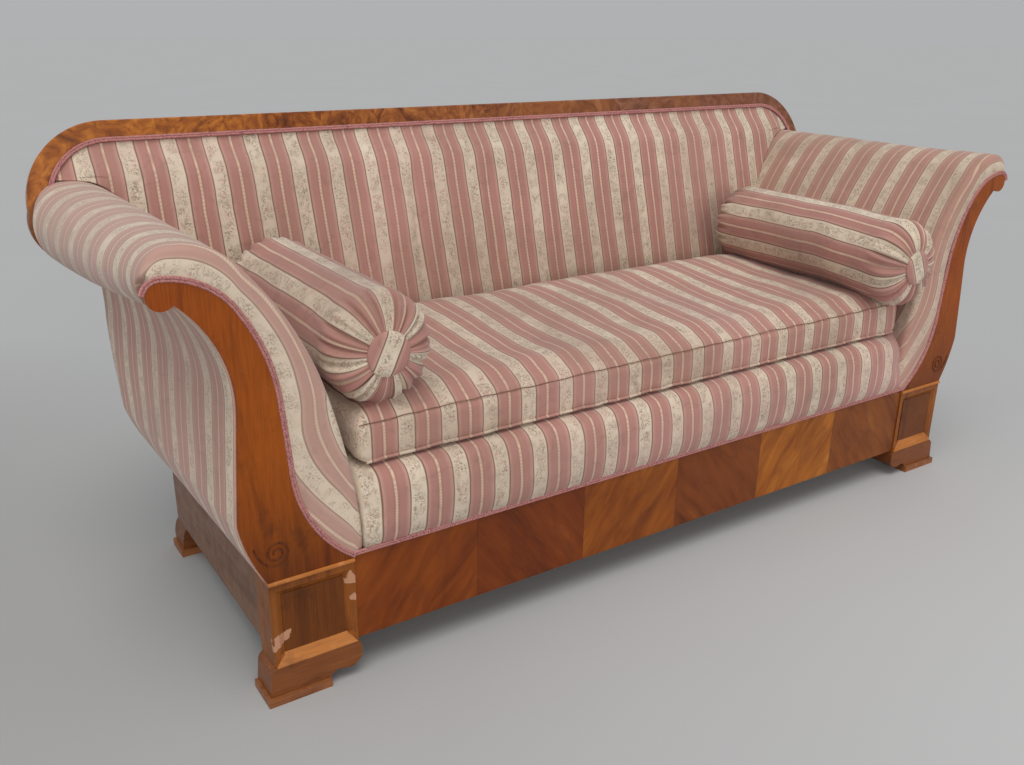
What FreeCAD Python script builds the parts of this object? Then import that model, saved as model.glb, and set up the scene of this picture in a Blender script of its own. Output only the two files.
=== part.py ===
import FreeCAD, Part
import math
import os

V = FreeCAD.Vector

# Driving sizes in millimetres. Places across the sofa are measured inward
# from the outer face of the left corner block, depths back from the front
# of the blocks, and heights up from the floor.

# Corner blocks
BLOCK_SPAN = 1891.0
BLOCK_WIDTH = 161.0
BLOCK_DEPTH = 67.0
BLOCK_BOTTOM = 74.0
BLOCK_TOP = 238.0
FRAME_WIDTH = 20.0
FRAME_BEVEL = 8.0
RECESS_DEPTH = 6.0
PANEL_THICK = 2.0
BASE_HEIGHT = 24.0
BASE_PROUD = 5.0
BASE_INSET = 3.0
CAP_THICK = 9.0
CAP_PROUD = 4.0

# Feet
PLINTH_HEIGHT = 16.0
PLINTH_PROUD = 6.0
FOOT_FLARE = 13.0
FOOT_WIDTH = 101.0
WING_OVERHANG = 5.0
REAR_FOOT_WIDTH = 70.0
REAR_FOOT_INSET = 4.0
REAR_FOOT_RAKE = 65.0

# Rails of the seat frame
RAIL_BOTTOM = 76.0
RAIL_RISE = 12.0
RAIL_THICK = 32.0
RAIL_SETBACK = 3.0
VENEER_THICK = 2.0
VENEER_LEAVES = 6
APRON_THICK = 22.0
APRON_BOTTOM = 100.0
FRAME_DEPTH = 600.0
REAR_RAIL_THICK = 28.0
STRETCHER_WIDTH = 50.0
STRETCHER_HEIGHT = 40.0
STRETCHER_COUNT = 3
GLUE_BLOCK = 60.0

# Seat filling
STRAP_THICK = 2.5
STRAP_WIDTH = 50.0
SPRING_ROWS = 3
SPRING_COLUMNS = 7
SPRING_HEIGHT = 193.0
SPRING_RADIUS = 42.0
SPRING_WAIST = 26.0
SPRING_SIDES = 8
SPRING_WALL = 1.0
CANVAS_THICK = 3.0
DECK_RISE = 154.0
DECK_BULGE = 14.0
DECK_BORDER = 60.0
CLOTH_THICK = 4.0
GIMP_WIDTH = 10.0
GIMP_THICK = 6.0

# Loose cushion and bolsters
CUSHION_THICK = 98.0
CUSHION_CROWN = 8.0
CUSHION_DRAW = 10.0
CUSHION_FRONT = 2.0
BOLSTER_RADIUS = 102.0
BOLSTER_PLACE = 244.0
BOLSTER_CLEAR = 21.5
BOLSTER_FORWARD = 32.0
BOLSTER_LENGTH = 606.0
BOLSTER_SHOULDER = 62.0
SHOULDER_CHORDS = 2
DISC_RADIUS = 37.0
DISC_THICK = 4.0

# Arms, with heights taken from the top of the corner block
STILE_THICK = 32.0
SCROLL_RADIUS = 22.0
SCROLL_ACROSS = -119.0
SCROLL_RISE = 532.0
STILE_OUTER_FOOT = (-23.0, 60.0)
STILE_OUTER_KNEE = (-40.0, 125.0)
STILE_OUTER_SHIN = (-33.0, 217.0)
STILE_OUTER_WAIST = (-24.0, 318.0)
STILE_OUTER_NECK = (-43.0, 438.0)
STILE_INNER_NECK = (-50.0, 532.0)
STILE_INNER_CREST = (-8.0, 486.0)
STILE_INNER_BACK = (26.0, 415.0)
STILE_INNER_WAIST = (44.0, 320.0)
STILE_INNER_SHIN = (50.0, 252.0)
STILE_INNER_KNEE = (53.0, 211.0)
STILE_INNER_FOOT = (88.0, 89.0)
REAR_OUTER_TOE = -10.0
REAR_OUTER_FOOT = (-50.0, 67.0)
REAR_OUTER_KNEE = (-76.0, 134.0)
REAR_OUTER_SHIN = (-79.0, 227.0)
REAR_OUTER_WAIST = (-76.0, 322.0)
REAR_OUTER_NECK = (-72.0, 412.0)
ROLL_CORE_RADIUS = 50.0
ROLL_FRONT_RADIUS = 50.0
ROLL_FRONT_ACROSS = -96.0
ROLL_BACK_RADIUS = 81.0
ROLL_BACK_ACROSS = -112.0
ROLL_RISE = 605.0
ROLL_FALL = 5.0
PAD_INNER = 184.0
PAD_HEEL = 50.0
PAD_SHIN = (168.0, 182.0)
PAD_WAIST = (134.0, 327.0)
PAD_BACK = (80.0, 456.0)
PAD_CREST = (8.0, 556.0)
PAD_NECK = (-33.0, 591.0)
PAD_SPLAY = 22.0
PAD_ROUNDING = 14.0
STILE_NECK_INSIDE = (-66.0, 496.0)
STILE_WAIST_INSIDE = (-20.0, 402.0)
STILE_KNEE_INSIDE = (0.0, 162.0)
ARM_OVERRUN = 160.0
ARM_RAIL_HEIGHT = 32.0
ARM_RAIL_WIDTH = 45.0
ARM_RAIL_RISE = 290.0
MIDDLE_RAIL_ACROSS = -18.0
ROLL_RAIL_ACROSS = -120.0
ROLL_RAIL_RISE = 514.0

# Back, with heights up its slope from the top of the corner block
RAKE = 15.5
CREST_RISE = 714.0
CREST_THICK = 26.0
CREST_FACE = 36.0
CREST_RADIUS = 170.0
CREST_OVERHANG = 15.0
CREST_LEG = 60.0
CREST_EDGE = 3.0
BACK_PAD_THICK = 24.0
BACK_PAD_EDGE = 5.0
BACK_PAD_SLOPE = 42.0
UPRIGHT_WIDTH = 60.0
UPRIGHT_PLACE = 320.0
BOTTOM_RAIL_HEIGHT = 66.0

# Fits, and the chords that stand for an arc where cloth hides it
CLEAR = 0.3
CUSHION_CLEAR = 2.0
HIDDEN_CHORDS = 4

# Sizes worked out from the driving ones
HALF = BLOCK_SPAN / 2
INSIDE = HALF - APRON_THICK
CAP_TOP = BLOCK_TOP + CAP_THICK
RAIL_TOP = BLOCK_TOP + RAIL_RISE
RAIL_BACK = RAIL_SETBACK + VENEER_THICK + RAIL_THICK
REAR_RAIL_FRONT = FRAME_DEPTH - REAR_RAIL_THICK
ARM_REACH = FRAME_DEPTH + ARM_OVERRUN
FOOT_FRONT = 1.0 - BASE_PROUD
STRETCHER_TOP = APRON_BOTTOM + STRETCHER_HEIGHT
WEB_TOP = STRETCHER_TOP + 2 * STRAP_THICK
CANVAS_BOTTOM = WEB_TOP + SPRING_HEIGHT
DECK_TOP = RAIL_TOP + DECK_RISE
SEAT_LINE = DECK_TOP + CLEAR
CUSHION_TOP = SEAT_LINE + CUSHION_THICK + CUSHION_CROWN
SPRING_REACH = HALF - PAD_INNER - 2 * SPRING_RADIUS
SLOPE = math.radians(RAKE)
CREST_TOP = BLOCK_TOP + (CREST_RISE - CREST_THICK * math.sin(SLOPE)) / math.cos(SLOPE)
CREST_END = HALF + CREST_OVERHANG
CREST_SIDE = CREST_END + CREST_RADIUS
CREST_CENTRE = CREST_TOP - CREST_RADIUS
STRAP_REACH = CREST_END + STRAP_WIDTH / 2
BACK_FACE = FRAME_DEPTH - CREST_THICK
STRAP_FACE = BACK_FACE - 2 * STRAP_THICK
BACK_PAD_FRONT = STRAP_FACE - BACK_PAD_THICK
FAR = 3000.0

pieces = {}


def across(u):
    """X of a point that lies u inward from the left block's outer face."""
    return u - HALF


def box(x0, x1, y0, y1, z0, z1):
    """Rectangular block between two corners."""
    return Part.makeBox(x1 - x0, y1 - y0, z1 - z0, V(x0, y0, z0))


def mirrored(shape):
    """The same piece for the other end of the sofa."""
    return shape.mirror(V(0, 0, 0), V(1, 0, 0))


def both_ends(name, shape):
    """Keep a left piece and its mirror image."""
    pieces[name + "_left"] = shape
    pieces[name + "_right"] = mirrored(shape)


def without(shape, *names):
    """Cut the left and right pieces of these names out of a shape."""
    for name in names:
        shape = shape.cut(pieces[name + "_left"]).cut(pieces[name + "_right"])
    return shape


def outline(place, start, *steps, chords=1):
    """Closed wire of straight steps (end) and arc steps (middle, end).

    With more chords than one, each arc becomes that many straight edges.
    """
    first = place(*start)
    edges = []
    here = first
    for step in steps:
        there = place(*step[-1])
        if len(step) == 2:
            arc = Part.Arc(here, place(*step[0]), there).toShape()
            points = arc.discretize(chords + 1)
            edges += [Part.makeLine(a, b) for a, b in zip(points, points[1:])] if chords > 1 else [arc]
        else:
            edges.append(Part.makeLine(here, there))
        here = there
    edges.append(Part.makeLine(here, first))
    return Part.Wire(edges)


def facing(y):
    """Place outline points on an upright plane at depth y."""
    return lambda u, z: V(across(u), y, z)


def arm_facing(y):
    """The same for the arms, whose heights start at the block's top."""
    return lambda u, rise: V(across(u), y, BLOCK_TOP + rise)


def sideways(x):
    """Place outline points (depth, height) on a plane across the sofa."""
    return lambda y, z: V(x, y, z)


def sawn(wire, depth):
    """Board sawn to an outline and as thick as depth."""
    return Part.Face(wire).extrude(V(0, depth, 0))


def run(x0, x1, start, *steps):
    """Length of one section along the sofa, from x0 to x1."""
    return Part.Face(outline(sideways(x0), start, *steps)).extrude(V(x1 - x0, 0, 0))


def on_circle(centre, radius, degrees):
    """Point of a circle in an outline."""
    angle = math.radians(degrees)
    return (centre[0] + radius * math.cos(angle), centre[1] + radius * math.sin(angle))


def leaned(shape):
    """Turn an upright back piece to the rake of the back."""
    shape = shape.copy()
    shape.rotate(V(0, FRAME_DEPTH, BLOCK_TOP), V(1, 0, 0), -RAKE)
    return shape


def behind(depth):
    """All the space behind a plane of the raked back."""
    return leaned(box(-FAR, FAR, depth, depth + FAR, -FAR, FAR))


def back_depth(z, depth):
    """Depth at height z of a plane of the raked back."""
    setback = (FRAME_DEPTH - depth) / math.cos(SLOPE)
    return FRAME_DEPTH - setback + (z - BLOCK_TOP) * math.tan(SLOPE)


def spread(count, reach):
    """Even places from -reach to reach."""
    return [reach * (2 * i / (count - 1) - 1) for i in range(count)]


# Front rail: a pine plank faced with matched leaves of veneer
def front_rail():
    reach = HALF - BLOCK_WIDTH
    face = RAIL_SETBACK + VENEER_THICK
    pieces["front_rail"] = box(-reach, reach, face, RAIL_BACK, RAIL_BOTTOM, RAIL_TOP)
    leaf = 2 * reach / VENEER_LEAVES
    leaves = []
    for i in range(VENEER_LEAVES):
        x = -reach + i * leaf
        leaves.append(box(x, x + leaf, RAIL_SETBACK, face, RAIL_BOTTOM, RAIL_TOP))
    pieces["front_rail_veneer"] = Part.makeCompound(leaves)


# Side aprons, rear rail, and the stretchers that tie the rails
def seat_frame():
    apron = box(-HALF, -INSIDE, BLOCK_DEPTH, FRAME_DEPTH, APRON_BOTTOM, BLOCK_TOP)
    both_ends("side_apron", apron)
    pieces["rear_rail"] = box(-INSIDE, INSIDE, REAR_RAIL_FRONT, FRAME_DEPTH, APRON_BOTTOM, BLOCK_TOP)
    half = STRETCHER_WIDTH / 2
    stretchers = []
    for x in spread(STRETCHER_COUNT, HALF / 2):
        stretchers.append(box(x - half, x + half, RAIL_BACK, REAR_RAIL_FRONT, APRON_BOTTOM, STRETCHER_TOP))
    pieces["seat_stretchers"] = Part.makeCompound(stretchers)


# Three-cornered glue blocks inside the corners of the seat frame
def glue_blocks():
    blocks = []
    for y, turn in ((BLOCK_DEPTH, 1), (REAR_RAIL_FRONT, -1)):
        corner = V(-INSIDE, y, WEB_TOP)
        points = [corner, corner + V(GLUE_BLOCK, 0, 0), corner + V(0, turn * GLUE_BLOCK, 0), corner]
        block = Part.Face(Part.makePolygon(points)).extrude(V(0, 0, BLOCK_TOP - WEB_TOP))
        blocks.append(block)
        blocks.append(mirrored(block))
    pieces["corner_glue_blocks"] = Part.makeCompound(blocks)


# Corner block: a pier whose front is recessed like a picture frame, with a
# veneered panel on the recess floor and a sloping mitred moulding below it
def corner_blocks():
    panel_bottom = BLOCK_BOTTOM + BASE_HEIGHT
    panel_top = BLOCK_TOP - FRAME_WIDTH
    inner = BLOCK_WIDTH - FRAME_WIDTH
    lip = FRAME_WIDTH - FRAME_BEVEL
    floor = RECESS_DEPTH - PANEL_THICK
    pier = box(-HALF, across(BLOCK_WIDTH), 0, BLOCK_DEPTH, BLOCK_BOTTOM, BLOCK_TOP)
    mouth = outline(facing(0), (lip, panel_bottom), ((BLOCK_WIDTH - lip, panel_bottom),),
                    ((BLOCK_WIDTH - lip, BLOCK_TOP - lip),), ((lip, BLOCK_TOP - lip),))
    bed = outline(facing(RECESS_DEPTH), (FRAME_WIDTH, panel_bottom), ((inner, panel_bottom),),
                  ((inner, panel_top),), ((FRAME_WIDTH, panel_top),))
    mitre = outline(facing(-BASE_PROUD), (BASE_INSET, BLOCK_BOTTOM), ((BLOCK_WIDTH - BASE_INSET, BLOCK_BOTTOM),),
                    ((inner, panel_bottom),), ((FRAME_WIDTH, panel_bottom),))
    mitre = sawn(mitre, BASE_PROUD + floor)
    slope = run(-HALF, across(BLOCK_WIDTH), (-BASE_PROUD, BLOCK_BOTTOM),
                ((floor, panel_bottom),), ((floor, BLOCK_BOTTOM),))
    both_ends("corner_block", pier.cut(Part.makeLoft([mouth, bed], True, True)).cut(mitre))
    both_ends("block_base_moulding", slope.common(mitre))
    both_ends("block_panel", box(across(FRAME_WIDTH) + PANEL_THICK, across(inner) - PANEL_THICK,
                                 floor, RECESS_DEPTH, panel_bottom, panel_top - PANEL_THICK))


# Thin moulding that caps a block and carries the arm stile
def block_caps():
    low = BLOCK_TOP + CAP_THICK / 3
    high = CAP_TOP - CAP_THICK / 3
    cap = run(-HALF, across(BLOCK_WIDTH), (0, BLOCK_TOP), ((-CAP_PROUD, low),), ((-CAP_PROUD, high),),
              ((-CAP_PROUD / 2, CAP_TOP),), ((STILE_THICK, CAP_TOP),), ((STILE_THICK, BLOCK_TOP),))
    both_ends("block_cap", cap)


# Front bracket foot: it flares outward over its plinth, and a rounded
# wing runs inward under the front rail
def front_feet():
    neck = BLOCK_BOTTOM
    sole = PLINTH_HEIGHT
    tip = BLOCK_WIDTH + WING_OVERHANG
    foot = outline(facing(FOOT_FRONT), (FRAME_BEVEL, neck),
                   ((-0.5 * FOOT_FLARE, neck - 9), (-0.7 * FOOT_FLARE, neck - 19)),
                   ((-FOOT_FLARE, sole),), ((FOOT_WIDTH, sole),),
                   ((FOOT_WIDTH + 8, sole + 10), (FOOT_WIDTH + 20, sole + 12)),
                   ((FOOT_WIDTH + 29, sole + 9), (FOOT_WIDTH + 38, sole + 8)),
                   ((tip - 8, sole + 15), (tip, sole + 40)),
                   ((tip - 1, neck - 8), (BLOCK_WIDTH, neck)))
    both_ends("front_foot", sawn(foot, BLOCK_DEPTH - FOOT_FRONT))
    both_ends("front_plinth", box(across(-FOOT_FLARE - PLINTH_PROUD), across(FOOT_WIDTH),
                                  FOOT_FRONT - PLINTH_PROUD, BLOCK_DEPTH, 0, PLINTH_HEIGHT))


# Rear foot: sawn to a curve that sweeps back as the sofa's back does
def rear_feet():
    sole = PLINTH_HEIGHT
    heel = FRAME_DEPTH + REAR_FOOT_RAKE
    left = across(REAR_FOOT_INSET)
    right = left + REAR_FOOT_WIDTH
    toe = heel - REAR_FOOT_RAKE + 2
    middle = (APRON_BOTTOM + sole) / 2
    foot = run(left, right, (FRAME_DEPTH - REAR_FOOT_RAKE, APRON_BOTTOM),
               ((toe - 18, middle + 2), (toe, sole)), ((heel - 3, sole),), ((heel - 1, sole + 20),),
               ((heel - 24, middle + 14), (FRAME_DEPTH, APRON_BOTTOM)))
    both_ends("rear_foot", foot)
    both_ends("rear_plinth", box(left - PLINTH_PROUD, right + PLINTH_PROUD, toe - PLINTH_PROUD,
                                 heel + PLINTH_PROUD / 2, 0, PLINTH_HEIGHT))


# Webbing: straps laid both ways over the stretchers, under the springs
def seat_webbing():
    half = STRAP_WIDTH / 2
    middle = (RAIL_BACK + REAR_RAIL_FRONT) / 2
    lengthwise = STRETCHER_TOP + STRAP_THICK
    straps = []
    for y in spread(SPRING_ROWS, (REAR_RAIL_FRONT - RAIL_BACK) / 3):
        straps.append(box(-INSIDE, INSIDE, middle + y - half, middle + y + half, STRETCHER_TOP, lengthwise))
    for x in spread(SPRING_COLUMNS, SPRING_REACH):
        straps.append(box(x - half, x + half, RAIL_BACK, REAR_RAIL_FRONT, lengthwise, WEB_TOP))
    pieces["seat_webbing"] = Part.makeCompound(straps)


def ring(x, y, z, radius):
    """Corners of a many-sided ring that stands for one turn of a spring."""
    angles = [2 * math.pi * i / SPRING_SIDES for i in range(SPRING_SIDES)]
    return [V(x + radius * math.cos(a), y + radius * math.sin(a), z) for a in angles]


def flat_band(one, other):
    """Flat four-cornered faces between two rings."""
    return [Part.Face(Part.makePolygon([one[i - 1], one[i], other[i], other[i - 1], one[i - 1]]))
            for i in range(SPRING_SIDES)]


def hourglass(x, y):
    """The open hourglass that a spring's coils follow."""
    turns = ((WEB_TOP, SPRING_RADIUS), (WEB_TOP + SPRING_HEIGHT / 2, SPRING_WAIST), (CANVAS_BOTTOM, SPRING_RADIUS))
    rings = [ring(x, y, z, radius) for z, radius in turns]
    rings += [ring(x, y, z, radius - SPRING_WALL) for z, radius in reversed(turns)]
    faces = [face for i in range(len(rings)) for face in flat_band(rings[i - 1], rings[i])]
    return Part.Solid(Part.Shell(faces))


# Springs: each is an open hourglass, as thin as its steel spread evenly
def seat_springs():
    middle = (RAIL_BACK + REAR_RAIL_FRONT) / 2
    springs = []
    for y in spread(SPRING_ROWS, (REAR_RAIL_FRONT - RAIL_BACK) / 3):
        for x in spread(SPRING_COLUMNS, SPRING_REACH):
            springs.append(hourglass(x, middle + y))
    pieces["seat_springs"] = Part.makeCompound(springs)


# Sprung seat: canvas over the springs, and the stuffed deck with its
# rolled front border
def seat_deck():
    reach = HALF - PAD_INNER - CLEAR
    canvas_top = CANVAS_BOTTOM + CANVAS_THICK
    border = DECK_BORDER - CLEAR
    pieces["spring_canvas"] = box(-reach, reach, DECK_BORDER, back_depth(CANVAS_BOTTOM, STRAP_FACE) - CLEAR,
                                  CANVAS_BOTTOM, canvas_top)
    middle = RAIL_TOP + DECK_RISE / 2
    lip = DECK_TOP - DECK_BULGE
    deck = run(-reach, reach, (RAIL_SETBACK, RAIL_TOP), ((RAIL_SETBACK, RAIL_TOP + GIMP_WIDTH),),
               ((RAIL_SETBACK - DECK_BULGE, middle - DECK_BULGE), (RAIL_SETBACK - DECK_BULGE / 3, lip)),
               ((RAIL_SETBACK + DECK_BULGE / 3, DECK_TOP - DECK_BULGE / 4), (RAIL_SETBACK + DECK_BULGE, DECK_TOP)),
               ((back_depth(DECK_TOP, STRAP_FACE), DECK_TOP),),
               ((back_depth(canvas_top, STRAP_FACE), canvas_top),),
               ((border, canvas_top),), ((border, RAIL_TOP),))
    pieces["seat_deck"] = deck
    cover = box(-INSIDE, INSIDE, RAIL_BACK, REAR_RAIL_FRONT, APRON_BOTTOM - CLOTH_THICK, APRON_BOTTOM)
    pieces["dust_cover"] = without(cover, "corner_block", "rear_foot")


def cushion_line(x, draw, crown):
    """Section of the cushion at x, drawn in and crowned."""
    front = CUSHION_FRONT + draw
    low = SEAT_LINE + draw
    high = SEAT_LINE + CUSHION_THICK - draw
    middle = (low + high) / 2
    back_low = back_depth(low, BACK_PAD_FRONT) - CUSHION_CLEAR - draw
    back_high = back_depth(high, BACK_PAD_FRONT) - CUSHION_CLEAR - draw
    belly = (back_low + back_high) / 2
    corner = CUSHION_DRAW
    return outline(sideways(x), (front + corner, SEAT_LINE + draw),
                   ((front + 2, low + 4), (front, low + corner)),
                   ((front - 4, middle), (front, high - corner)),
                   ((front + 2, high - 3), (front + corner, high)),
                   ((belly / 2, high + crown), (back_high - corner, high)),
                   ((back_high - 4, high - 4), (back_high - 3, high - corner)),
                   ((belly + 1, middle), (back_low - 1, low + corner)),
                   ((back_low - 4, low + 3), (back_low - corner, low)))


# Seat cushion: boxed, crowned along and across, its ends drawn in
def seat_cushion():
    end = HALF - PAD_INNER - CUSHION_CLEAR
    reaches = [(-end, CUSHION_DRAW), (-end + 10, 3.0), (-end + 34, 0.0)]
    reaches += [(-x, draw) for x, draw in reversed(reaches)]
    sections = []
    for x, draw in reaches:
        crown = CUSHION_CROWN * (1 - 0.8 * draw / CUSHION_DRAW)
        sections.append(cushion_line(x, draw, crown))
    pieces["seat_cushion"] = Part.makeLoft(sections, True, True)


# Bolsters: a round body that turns over soft shoulders to a covered disc.
# The right one lies a little further forward than the left
def bolsters():
    height = CUSHION_TOP + CLEAR + BOLSTER_RADIUS
    rear = back_depth(height - DISC_RADIUS, BACK_PAD_FRONT) - BOLSTER_CLEAR - DISC_THICK
    front = rear - BOLSTER_LENGTH
    drop = BOLSTER_RADIUS - DISC_RADIUS
    round_off = (BOLSTER_SHOULDER ** 2 + drop ** 2) / (2 * drop)
    turn = math.degrees(math.asin(BOLSTER_SHOULDER / round_off))
    hub = BOLSTER_RADIUS - round_off

    def section(depth, radius):
        return V(across(BOLSTER_PLACE), depth, height + radius)

    shoulder = [on_circle((front + BOLSTER_SHOULDER, hub), round_off, 90 + turn * (1 - i / SHOULDER_CHORDS))
                for i in range(SHOULDER_CHORDS + 1)]
    profile = [(front, 0)] + shoulder
    profile += [(front + rear - depth, radius) for depth, radius in reversed(profile)]
    edge = Part.makePolygon([section(*point) for point in profile + profile[:1]])
    start = section(front, 0)
    end = section(rear, 0)
    both_ends("bolster", Part.Face(edge).revolve(start, V(0, 1, 0), 360))
    discs = [Part.makeCylinder(DISC_RADIUS, DISC_THICK, start, V(0, -1, 0)),
             Part.makeCylinder(DISC_RADIUS, DISC_THICK, end, V(0, 1, 0))]
    both_ends("bolster_discs", Part.makeCompound(discs))
    for name in ("bolster_right", "bolster_discs_right"):
        pieces[name].translate(V(0, -BOLSTER_FORWARD, 0))


def arm_core_line(y, back, chords=1):
    """Outline of the wooden arm: the stile's in front, the post's behind."""
    if back:
        centre = (ROLL_BACK_ACROSS, ROLL_RISE - ROLL_FALL - ROLL_BACK_RADIUS)
        radius = ROLL_CORE_RADIUS
        toe = REAR_OUTER_TOE
        outer = (REAR_OUTER_FOOT, REAR_OUTER_KNEE, REAR_OUTER_SHIN, REAR_OUTER_WAIST, REAR_OUTER_NECK)
    else:
        centre = (SCROLL_ACROSS, SCROLL_RISE)
        radius = SCROLL_RADIUS
        toe = 0.0
        outer = (STILE_OUTER_FOOT, STILE_OUTER_KNEE, STILE_OUTER_SHIN, STILE_OUTER_WAIST, STILE_OUTER_NECK)
    foot, knee, shin, waist, neck = outer
    return outline(arm_facing(y), (BLOCK_WIDTH, 0), ((toe, 0),), ((toe, CAP_THICK),),
                   (foot, knee), (shin, waist), (neck, on_circle(centre, radius, -40)),
                   (on_circle(centre, radius, -97), on_circle(centre, radius, -155)),
                   (on_circle(centre, radius, 147), on_circle(centre, radius, 90)),
                   (STILE_INNER_NECK, STILE_INNER_CREST), (STILE_INNER_BACK, STILE_INNER_WAIST),
                   (STILE_INNER_SHIN, STILE_INNER_KNEE), (STILE_INNER_FOOT, (BLOCK_WIDTH, CAP_THICK)),
                   chords=chords)


def arm_core():
    """All the space between the wooden faces of an arm."""
    front = arm_core_line(0, False, HIDDEN_CHORDS)
    return Part.makeLoft([front, arm_core_line(ARM_REACH, True, HIDDEN_CHORDS)], True, True)


# Arm stile: the show-wood face, one sweep from the block to its scroll
def arm_stiles():
    stile = sawn(arm_core_line(0, False), STILE_THICK)
    cap_space = box(-FAR, FAR, -FAR, FAR, 0, CAP_TOP)
    both_ends("arm_stile", stile.cut(cap_space))


# Rails between the stile and the rear post: foot, middle and roll
def arm_rails():
    places = {"foot": (0, 0), "middle": (MIDDLE_RAIL_ACROSS, ARM_RAIL_RISE),
              "roll": (ROLL_RAIL_ACROSS, ROLL_RAIL_RISE)}
    for name, (place, rise) in places.items():
        rail = box(across(place), across(place) + ARM_RAIL_WIDTH, STILE_THICK, FAR,
                   BLOCK_TOP + rise, BLOCK_TOP + rise + ARM_RAIL_HEIGHT)
        both_ends("arm_" + name + "_rail", rail.cut(behind(BACK_FACE)))


# Rear arm post: sawn to the same sweep as the stile but raked, with a
# round head that closes the roll and takes the foot of the crest
def rear_arm_posts(core):
    slab = leaned(box(-FAR, 0, BACK_FACE, FRAME_DEPTH, -FAR, FAR))
    centre = V(across(ROLL_BACK_ACROSS), 0, BLOCK_TOP + ROLL_RISE - ROLL_FALL - ROLL_BACK_RADIUS)
    head = Part.makeCylinder(ROLL_BACK_RADIUS - CLOTH_THICK, FAR, centre, V(0, 1, 0))
    rear = sawn(arm_core_line(ARM_REACH, True, HIDDEN_CHORDS), FAR)
    post = core.fuse(rear).fuse(head).common(slab).removeSplitter()
    both_ends("rear_arm_post", post)


def arm_skin_line(y, back, inset):
    """Outline of the padded arm, drawn in by inset at its front edge."""
    radius = (ROLL_BACK_RADIUS if back else ROLL_FRONT_RADIUS)
    top = ROLL_RISE - (ROLL_FALL if back else 0)
    centre = ((ROLL_BACK_ACROSS if back else ROLL_FRONT_ACROSS), top - radius)
    radius -= inset
    splay = PAD_SPLAY if back else 0
    some = 0.5 * inset
    heel = (PAD_INNER - inset, RAIL_RISE + PAD_HEEL)
    shin = (PAD_SHIN[0] - inset, PAD_SHIN[1])
    waist = (PAD_WAIST[0] - inset - splay / 2, PAD_WAIST[1])
    rear = (PAD_BACK[0] - splay - 0.86 * inset, PAD_BACK[1] - some)
    crest = (PAD_CREST[0] - splay - some, PAD_CREST[1] - 0.86 * inset)
    neck = (PAD_NECK[0] - splay - some / 2, PAD_NECK[1] - inset)
    return outline(arm_facing(y), (PAD_INNER - inset, RAIL_RISE), (heel,), (shin, waist), (rear, crest),
                   (neck, on_circle(centre, radius, 90)),
                   (on_circle(centre, radius, 135), on_circle(centre, radius, 180)),
                   (on_circle(centre, radius, 225), on_circle(centre, radius, 270)),
                   (STILE_NECK_INSIDE,), (STILE_WAIST_INSIDE,), (STILE_KNEE_INSIDE,),
                   ((BLOCK_WIDTH - 2 * PAD_ROUNDING, RAIL_RISE),), chords=HIDDEN_CHORDS)


def arm_skin():
    """All the space under an arm's cloth, from its front edge to the back."""
    soft = GIMP_THICK / 2
    return Part.makeLoft([arm_skin_line(soft, False, PAD_ROUNDING), arm_skin_line(soft + PAD_ROUNDING, False, 0),
                          arm_skin_line(ARM_REACH, True, 0)], True, True)


# Padded arm: horsehair and cloth over the inside of the arm and its roll
def arm_pads(skin):
    straps = behind(STRAP_FACE).common(box(-STRAP_REACH - CLEAR, FAR, -FAR, FAR, -FAR, FAR))
    pad = skin.cut(behind(BACK_FACE)).cut(straps)
    for name in ("arm_stile_left", "arm_middle_rail_left", "arm_roll_rail_left"):
        pad = pad.cut(pieces[name])
    both_ends("arm_pad", pad)


# Outer arm panel: cloth drawn from under the roll down to the apron
def outer_arm_panels(core, skin):
    shift = V(-CLOTH_THICK, 0, 0)
    sheet = core.copy()
    sheet.translate(shift)
    space = box(-FAR, 0, CLOTH_THICK, FAR, BLOCK_TOP, BLOCK_TOP + ROLL_RISE)
    sheet = sheet.common(space).cut(core).cut(skin).cut(behind(FRAME_DEPTH))
    sheet = sheet.cut(pieces["arm_stile_left"]).cut(pieces["rear_arm_post_left"])
    both_ends("outer_arm_panel", max(sheet.Solids, key=lambda solid: solid.Volume))


def arm_edge(inset, y, depth):
    """Strip that follows the stile's inner edge, inset wide."""
    def moved(point, x, z):
        return (point[0] + x * inset, point[1] + z * inset)

    foot = (BLOCK_WIDTH, CAP_THICK)
    scroll = on_circle((SCROLL_ACROSS, SCROLL_RISE), SCROLL_RADIUS, 90)
    line = outline(arm_facing(y), foot, (STILE_INNER_FOOT, STILE_INNER_KNEE), (STILE_INNER_SHIN, STILE_INNER_WAIST),
                   (STILE_INNER_BACK, STILE_INNER_CREST), (STILE_INNER_NECK, scroll), (moved(scroll, 0, 1),),
                   (moved(STILE_INNER_NECK, 0.4, 0.9), moved(STILE_INNER_CREST, 0.75, 0.66)),
                   (moved(STILE_INNER_BACK, 0.95, 0.3), moved(STILE_INNER_WAIST, 1, 0.1)),
                   (moved(STILE_INNER_SHIN, 1, 0), moved(STILE_INNER_KNEE, 1, 0)),
                   (moved(STILE_INNER_FOOT, 0.8, 0.6), moved(foot, 0.6, 0.8)))
    return sawn(line, depth)


# Braid that hides the tacks: along each stile, and along the front rail
def gimps():
    both_ends("arm_gimp", arm_edge(GIMP_WIDTH, -GIMP_THICK / 2, GIMP_THICK))
    reach = HALF - BLOCK_WIDTH
    gimp = box(-reach, reach, RAIL_SETBACK - GIMP_THICK, RAIL_SETBACK, RAIL_TOP, RAIL_TOP + GIMP_WIDTH)
    pieces["rail_gimp"] = without(gimp, "arm_gimp")


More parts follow.
